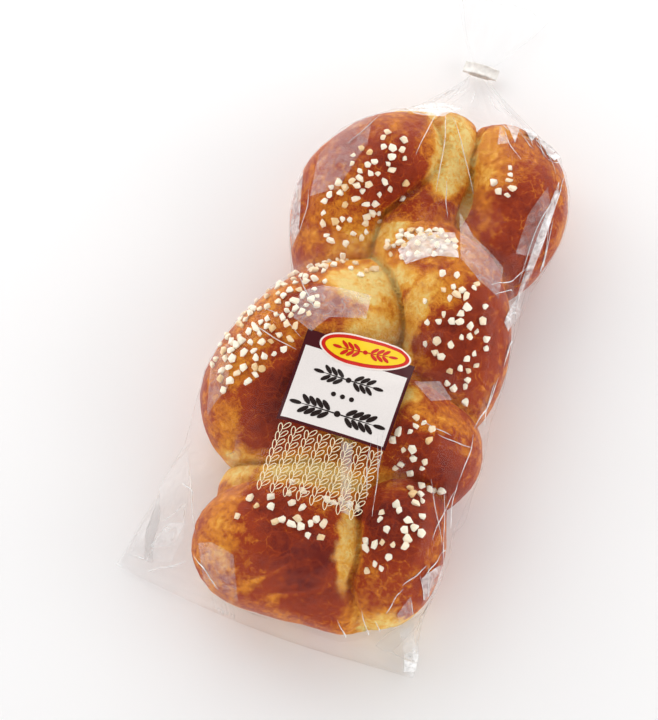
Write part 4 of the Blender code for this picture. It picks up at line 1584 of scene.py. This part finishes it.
def label_layers():
    """The label's fields of ink, from the film outwards: ink number, lift in millimetres, patches."""
    left, right, low, high = LABEL
    edge, band = LABEL_BORDER, LABEL_BAND
    border = [grid_patch(left, right, high - band, high), grid_patch(left, right, low, low + edge),
              grid_patch(left, left + edge, low + edge, high - band),
              grid_patch(right - edge, right, low + edge, high - band)]
    field = [grid_patch(left + edge, right - edge, low + edge, high - band)]
    ornament = []
    for sprig in LABEL_SPRIGS:
        ornament += leaf_sprig(**sprig)
    for x in LABEL_DOTS_X:
        ornament.append(oval_patch((x, LABEL_DOTS_Y), LABEL_DOT_HALF, 0))
    half_x, half_y = BADGE_HALF
    rim, red, yellow = ([oval_patch(BADGE_CENTRE, (half_x + more, half_y + more), BADGE_TURN)]
                        for more in BADGE_STEPS)
    badge_sprig = leaf_sprig(BADGE_CENTRE, turn=BADGE_TURN, **BADGE_SPRIG)
    # Ink number, which coat it lies in, and its patches.
    layers = ((0, 0, border), (1, 0, field), (5, 1, ornament), (4, 1, rim), (2, 2, red), (3, 3, yellow),
              (2, 4, badge_sprig))
    return [(ink, FIRST_COAT + coat * COAT, patches) for ink, coat, patches in layers]


def leaf_outline():
    """One leaf drawn as a line: an almond ring, 1 mm long along +Y before it is scaled."""
    sides = 14
    turns = [2 * math.pi * side / sides for side in range(sides)]
    loops = []
    for scale_x, scale_y in ((1.0, 1.0), (0.66, 0.86)):
        loops += [(scale_x * 0.24 * math.sin(t) * abs(math.sin(t / 2))**0.3,
                   -scale_y * 0.5 * math.cos(t), 0) for t in turns]
    faces = [(side, (side + 1) % sides, sides + (side + 1) % sides, sides + side) for side in range(sides)]
    return bpy.data.objects.new("leaf_line", new_mesh("leaf_line", loops, faces))


def leaf_tree(finish):
    """Leaves on points, each with its own turn."""
    tree, given = node_group("leaf_columns", (("Leaf", "NodeSocketObject", None),))
    leaf = add_node(tree, "GeometryNodeObjectInfo", {"Object": given.outputs["Leaf"]})
    turn = add_node(tree, "FunctionNodeEulerToRotation", {0: named(tree, "turn", "FLOAT_VECTOR")})
    placed = add_node(tree, "GeometryNodeInstanceOnPoints", {
        "Points": given.outputs["Geometry"], "Instance": leaf.outputs["Geometry"],
        "Rotation": turn.outputs[0], "Scale": named(tree, "size", "FLOAT")})
    end_tree(tree, placed.outputs[0], finish)
    return tree


class BRIOCHE_OT_print(Operator):
    """Print the bag: a label field with a plain badge and sprig, and columns of leaves under it"""

    bl_idname = "brioche.printing"
    bl_label = "Print on the film"

    def execute(self, context):
        settings = context.scene.brioche_print
        film = surface_of(bpy.data.objects["film_bag"])
        inks = [printed_ink(f"printed_ink_{name}", getattr(settings, name))
                for name in ("maroon", "paper", "red", "yellow", "white", "dark")]
        placed, numbers = [], []
        for number, lift, patches in label_layers():
            for flat, faces in patches:
                placed.append((on_film(film, flat, lift), faces))
                numbers += [number] * len(faces)
        mesh = new_mesh("label_print", *joined(placed))
        label = add_object("label_print", mesh, *inks)
        mesh.polygons.foreach_set("material_index", numbers)
        mesh.shade_smooth()
        finish_piece(label)
        self.leaves(settings, film)
        return {"FINISHED"}

    def leaves(self, settings, film):
        """The columns of leaves under the label."""
        left, right, low, high = LEAF_FIELD
        pitch_x = (right - left) / LEAF_COLUMNS
        pitch_y = (high - low) / LEAF_ROWS
        places, turns, lengths = [], [], []
        for column in range(LEAF_COLUMNS):
            for row in range(LEAF_ROWS):
                for side, lean, size in zip((-1, 1), LEAF_LEANS, LEAF_LENGTHS):
                    x = left + pitch_x * (column + 0.5) + side * 0.2 * pitch_x
                    y = high - pitch_y * (row + 0.62 - 0.2 * side)
                    places.append(to_scene((x, y, 0)))
                    turns.append((0, 0, -side * math.radians(lean)))
                    lengths.append(size * MM)
        finish = printed_ink("printed_ink_cream", settings.cream)
        leaf = leaf_outline()
        made = add_object("leaf_print", point_cloud("leaf_places", places, turn=turns, size=lengths), finish)
        columns = made.modifiers.new("leaves", "NODES")
        columns.node_group = leaf_tree(finish)
        set_inputs(columns, leaf=leaf)
        mesh = flatten_to_mesh(made, "leaf_print")
        bpy.data.objects.remove(leaf)
        flat = to_loaf(mesh_points(mesh))[:, :2]
        placed = np.array([tuple(point) for point in on_film(film, flat, LEAF_LIFT)])
        mesh.vertices.foreach_set("co", placed.astype(np.float32).ravel())
        mesh.update()
        finish_piece(made)


def strip_loop(quarter, y, lift):
    """A closed outline across the clip, from the points in one quarter of it."""
    right_top = [(x, z + lift) for x, z in quarter]
    left_top = [(-x, z) for x, z in reversed(right_top)]
    top = right_top + left_top
    return [(x, y, z) for x, z in top] + [(-x, y, -z) for x, z in top]


class BRIOCHE_OT_clip(Operator):
    """Fold the wired strip clip round the neck"""

    bl_idname = "brioche.clip"
    bl_label = "Strip clip"

    def execute(self, context):
        settings = context.scene.brioche_clip
        loops = [strip_loop(CLIP_OUTER, y, lift) for y, lift in CLIP_SECTION]
        loops += [strip_loop(CLIP_INNER, y, 0) for y in (CLIP_HALF_WIDTH, 0, -CLIP_HALF_WIDTH)]
        strip = bmesh.new()
        middle = Vector((NECK_X, NECK_Y, NECK_Z))
        rows = [[strip.verts.new(Vector(to_scene(Vector(point) + middle))) for point in loop]
                for loop in loops]
        count = len(rows[0])
        for number, (low, high) in enumerate(zip(rows, rows[1:] + rows[:1])):
            for j in range(count):
                k = (j + 1) % count
                face = strip.faces.new((low[j], low[k], high[k], high[j]))
                face.material_index = int(number in (1, 2, 7, 8))
                face.smooth = True
        bmesh.ops.recalc_face_normals(strip, faces=strip.faces[:])
        mesh = bpy.data.meshes.new("strip_clip")
        strip.to_mesh(mesh)
        strip.free()
        clip = add_object("strip_clip", mesh, strip_plastic("laminated_strip", settings.strip, 0.42),
                          strip_plastic("wire_under_film", settings.wire, 0.3))
        finish_piece(clip)
        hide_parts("clip")
        return {"FINISHED"}


def aim(thing, target):
    """Point a light or a camera at a place."""
    thing.rotation_mode = "QUATERNION"
    thing.rotation_quaternion = (Vector(target) - thing.location).to_track_quat("-Z", "Y")


def softbox(name, power):
    """A rectangular soft light that looks at the loaf."""
    given = SOFTBOXES[name]
    lamp = bpy.data.lights.new(f"softbox_{name}", "AREA")
    lamp.shape = "RECTANGLE"
    lamp.size, lamp.size_y = given["size"]
    lamp.energy = power
    box = bpy.data.objects.new(lamp.name, lamp)
    bpy.context.scene.collection.objects.link(box)
    box.location = Vector(given["way"]).normalized() * given["distance"]
    aim(box, (0, 0, 0))


def studio_sky(settings):
    """Light from all round, which fades towards straight above."""
    world = bpy.data.worlds.new("studio")
    world.use_nodes = True
    sky = world.node_tree
    sky.nodes.clear()
    way = add_node(sky, "ShaderNodeTexCoord").outputs["Generated"]
    height = add_node(sky, "ShaderNodeSeparateXYZ", {0: way}).outputs["Z"]
    light = remap(sky, height, SKY_FADE, (settings.fill, settings.top))
    glow = add_node(sky, "ShaderNodeBackground", {"Color": WHITE, "Strength": light})
    add_node(sky, "ShaderNodeOutputWorld", {"Surface": glow.outputs[0]})
    return world


def photo_camera():
    """A camera that stands where the photo's stood."""
    lens = bpy.data.cameras.new("camera")
    lens.sensor_width = CAMERA_SENSOR
    lens.lens = lens.sensor_width * CAMERA_DISTANCE / (2 * CAMERA_HALF_HEIGHT)
    lens.clip_end = CAMERA_REACH
    camera = bpy.data.objects.new("camera", lens)
    bpy.context.scene.collection.objects.link(camera)
    target = Vector(to_scene(CAMERA_TARGET))
    flat = math.cos(CAMERA_ELEVATION)
    back = Vector((math.sin(CAMERA_AZIMUTH) * flat, -math.cos(CAMERA_AZIMUTH) * flat,
                   math.sin(CAMERA_ELEVATION)))
    camera.location = target + back * CAMERA_DISTANCE * MM
    aim(camera, target)
    return camera


class BRIOCHE_OT_stage(Operator):
    """Set the pale floor, the soft lights and the camera"""

    bl_idname = "brioche.stage"
    bl_label = "Stage, light and camera"

    def execute(self, context):
        scene = context.scene
        settings = scene.brioche_stage
        corners = [(x * FLOOR_HALF, y * FLOOR_HALF, 0) for x, y in ((-1, -1), (1, -1), (1, 1), (-1, 1))]
        mesh = new_mesh("floor", corners, [(0, 1, 2, 3)])
        add_object("floor", mesh, floor_card(settings.floor))
        for name in SOFTBOXES:
            softbox(name, getattr(settings, name))
        scene.world = studio_sky(settings)
        scene.camera = photo_camera()
        scene.view_settings.view_transform = "Standard"
        return {"FINISHED"}


OPERATORS = (BRIOCHE_OT_loaf, BRIOCHE_OT_sugar, BRIOCHE_OT_film, BRIOCHE_OT_print, BRIOCHE_OT_clip,
             BRIOCHE_OT_stage)


class BRIOCHE_PT_build(Panel):
    """Lists the pieces of the bagged brioche"""

    bl_label = "Bagged brioche"
    bl_idname = "BRIOCHE_PT_build"
    bl_space_type = "VIEW_3D"
    bl_region_type = "UI"
    bl_category = "Brioche"

    def draw(self, context):
        for operator in OPERATORS:
            self.layout.operator(operator.bl_idname)
        for key, group in SETTINGS.items():
            box = self.layout.box()
            for name in group.__annotations__:
                box.prop(getattr(context.scene, key), name)


CLASSES = (*SETTINGS.values(), *OPERATORS, BRIOCHE_PT_build)


def register():
    for made in CLASSES:
        bpy.utils.register_class(made)
    for key, group in SETTINGS.items():
        setattr(bpy.types.Scene, key, PointerProperty(type=group))


def unregister():
    for key in SETTINGS:
        delattr(bpy.types.Scene, key)
    for made in reversed(CLASSES):
        bpy.utils.unregister_class(made)


def main():
    register()
    for build in (bpy.ops.brioche.loaf, bpy.ops.brioche.sugar, bpy.ops.brioche.film,
                  bpy.ops.brioche.printing, bpy.ops.brioche.clip, bpy.ops.brioche.stage):
        build()


if __name__ == "__main__":
    main()
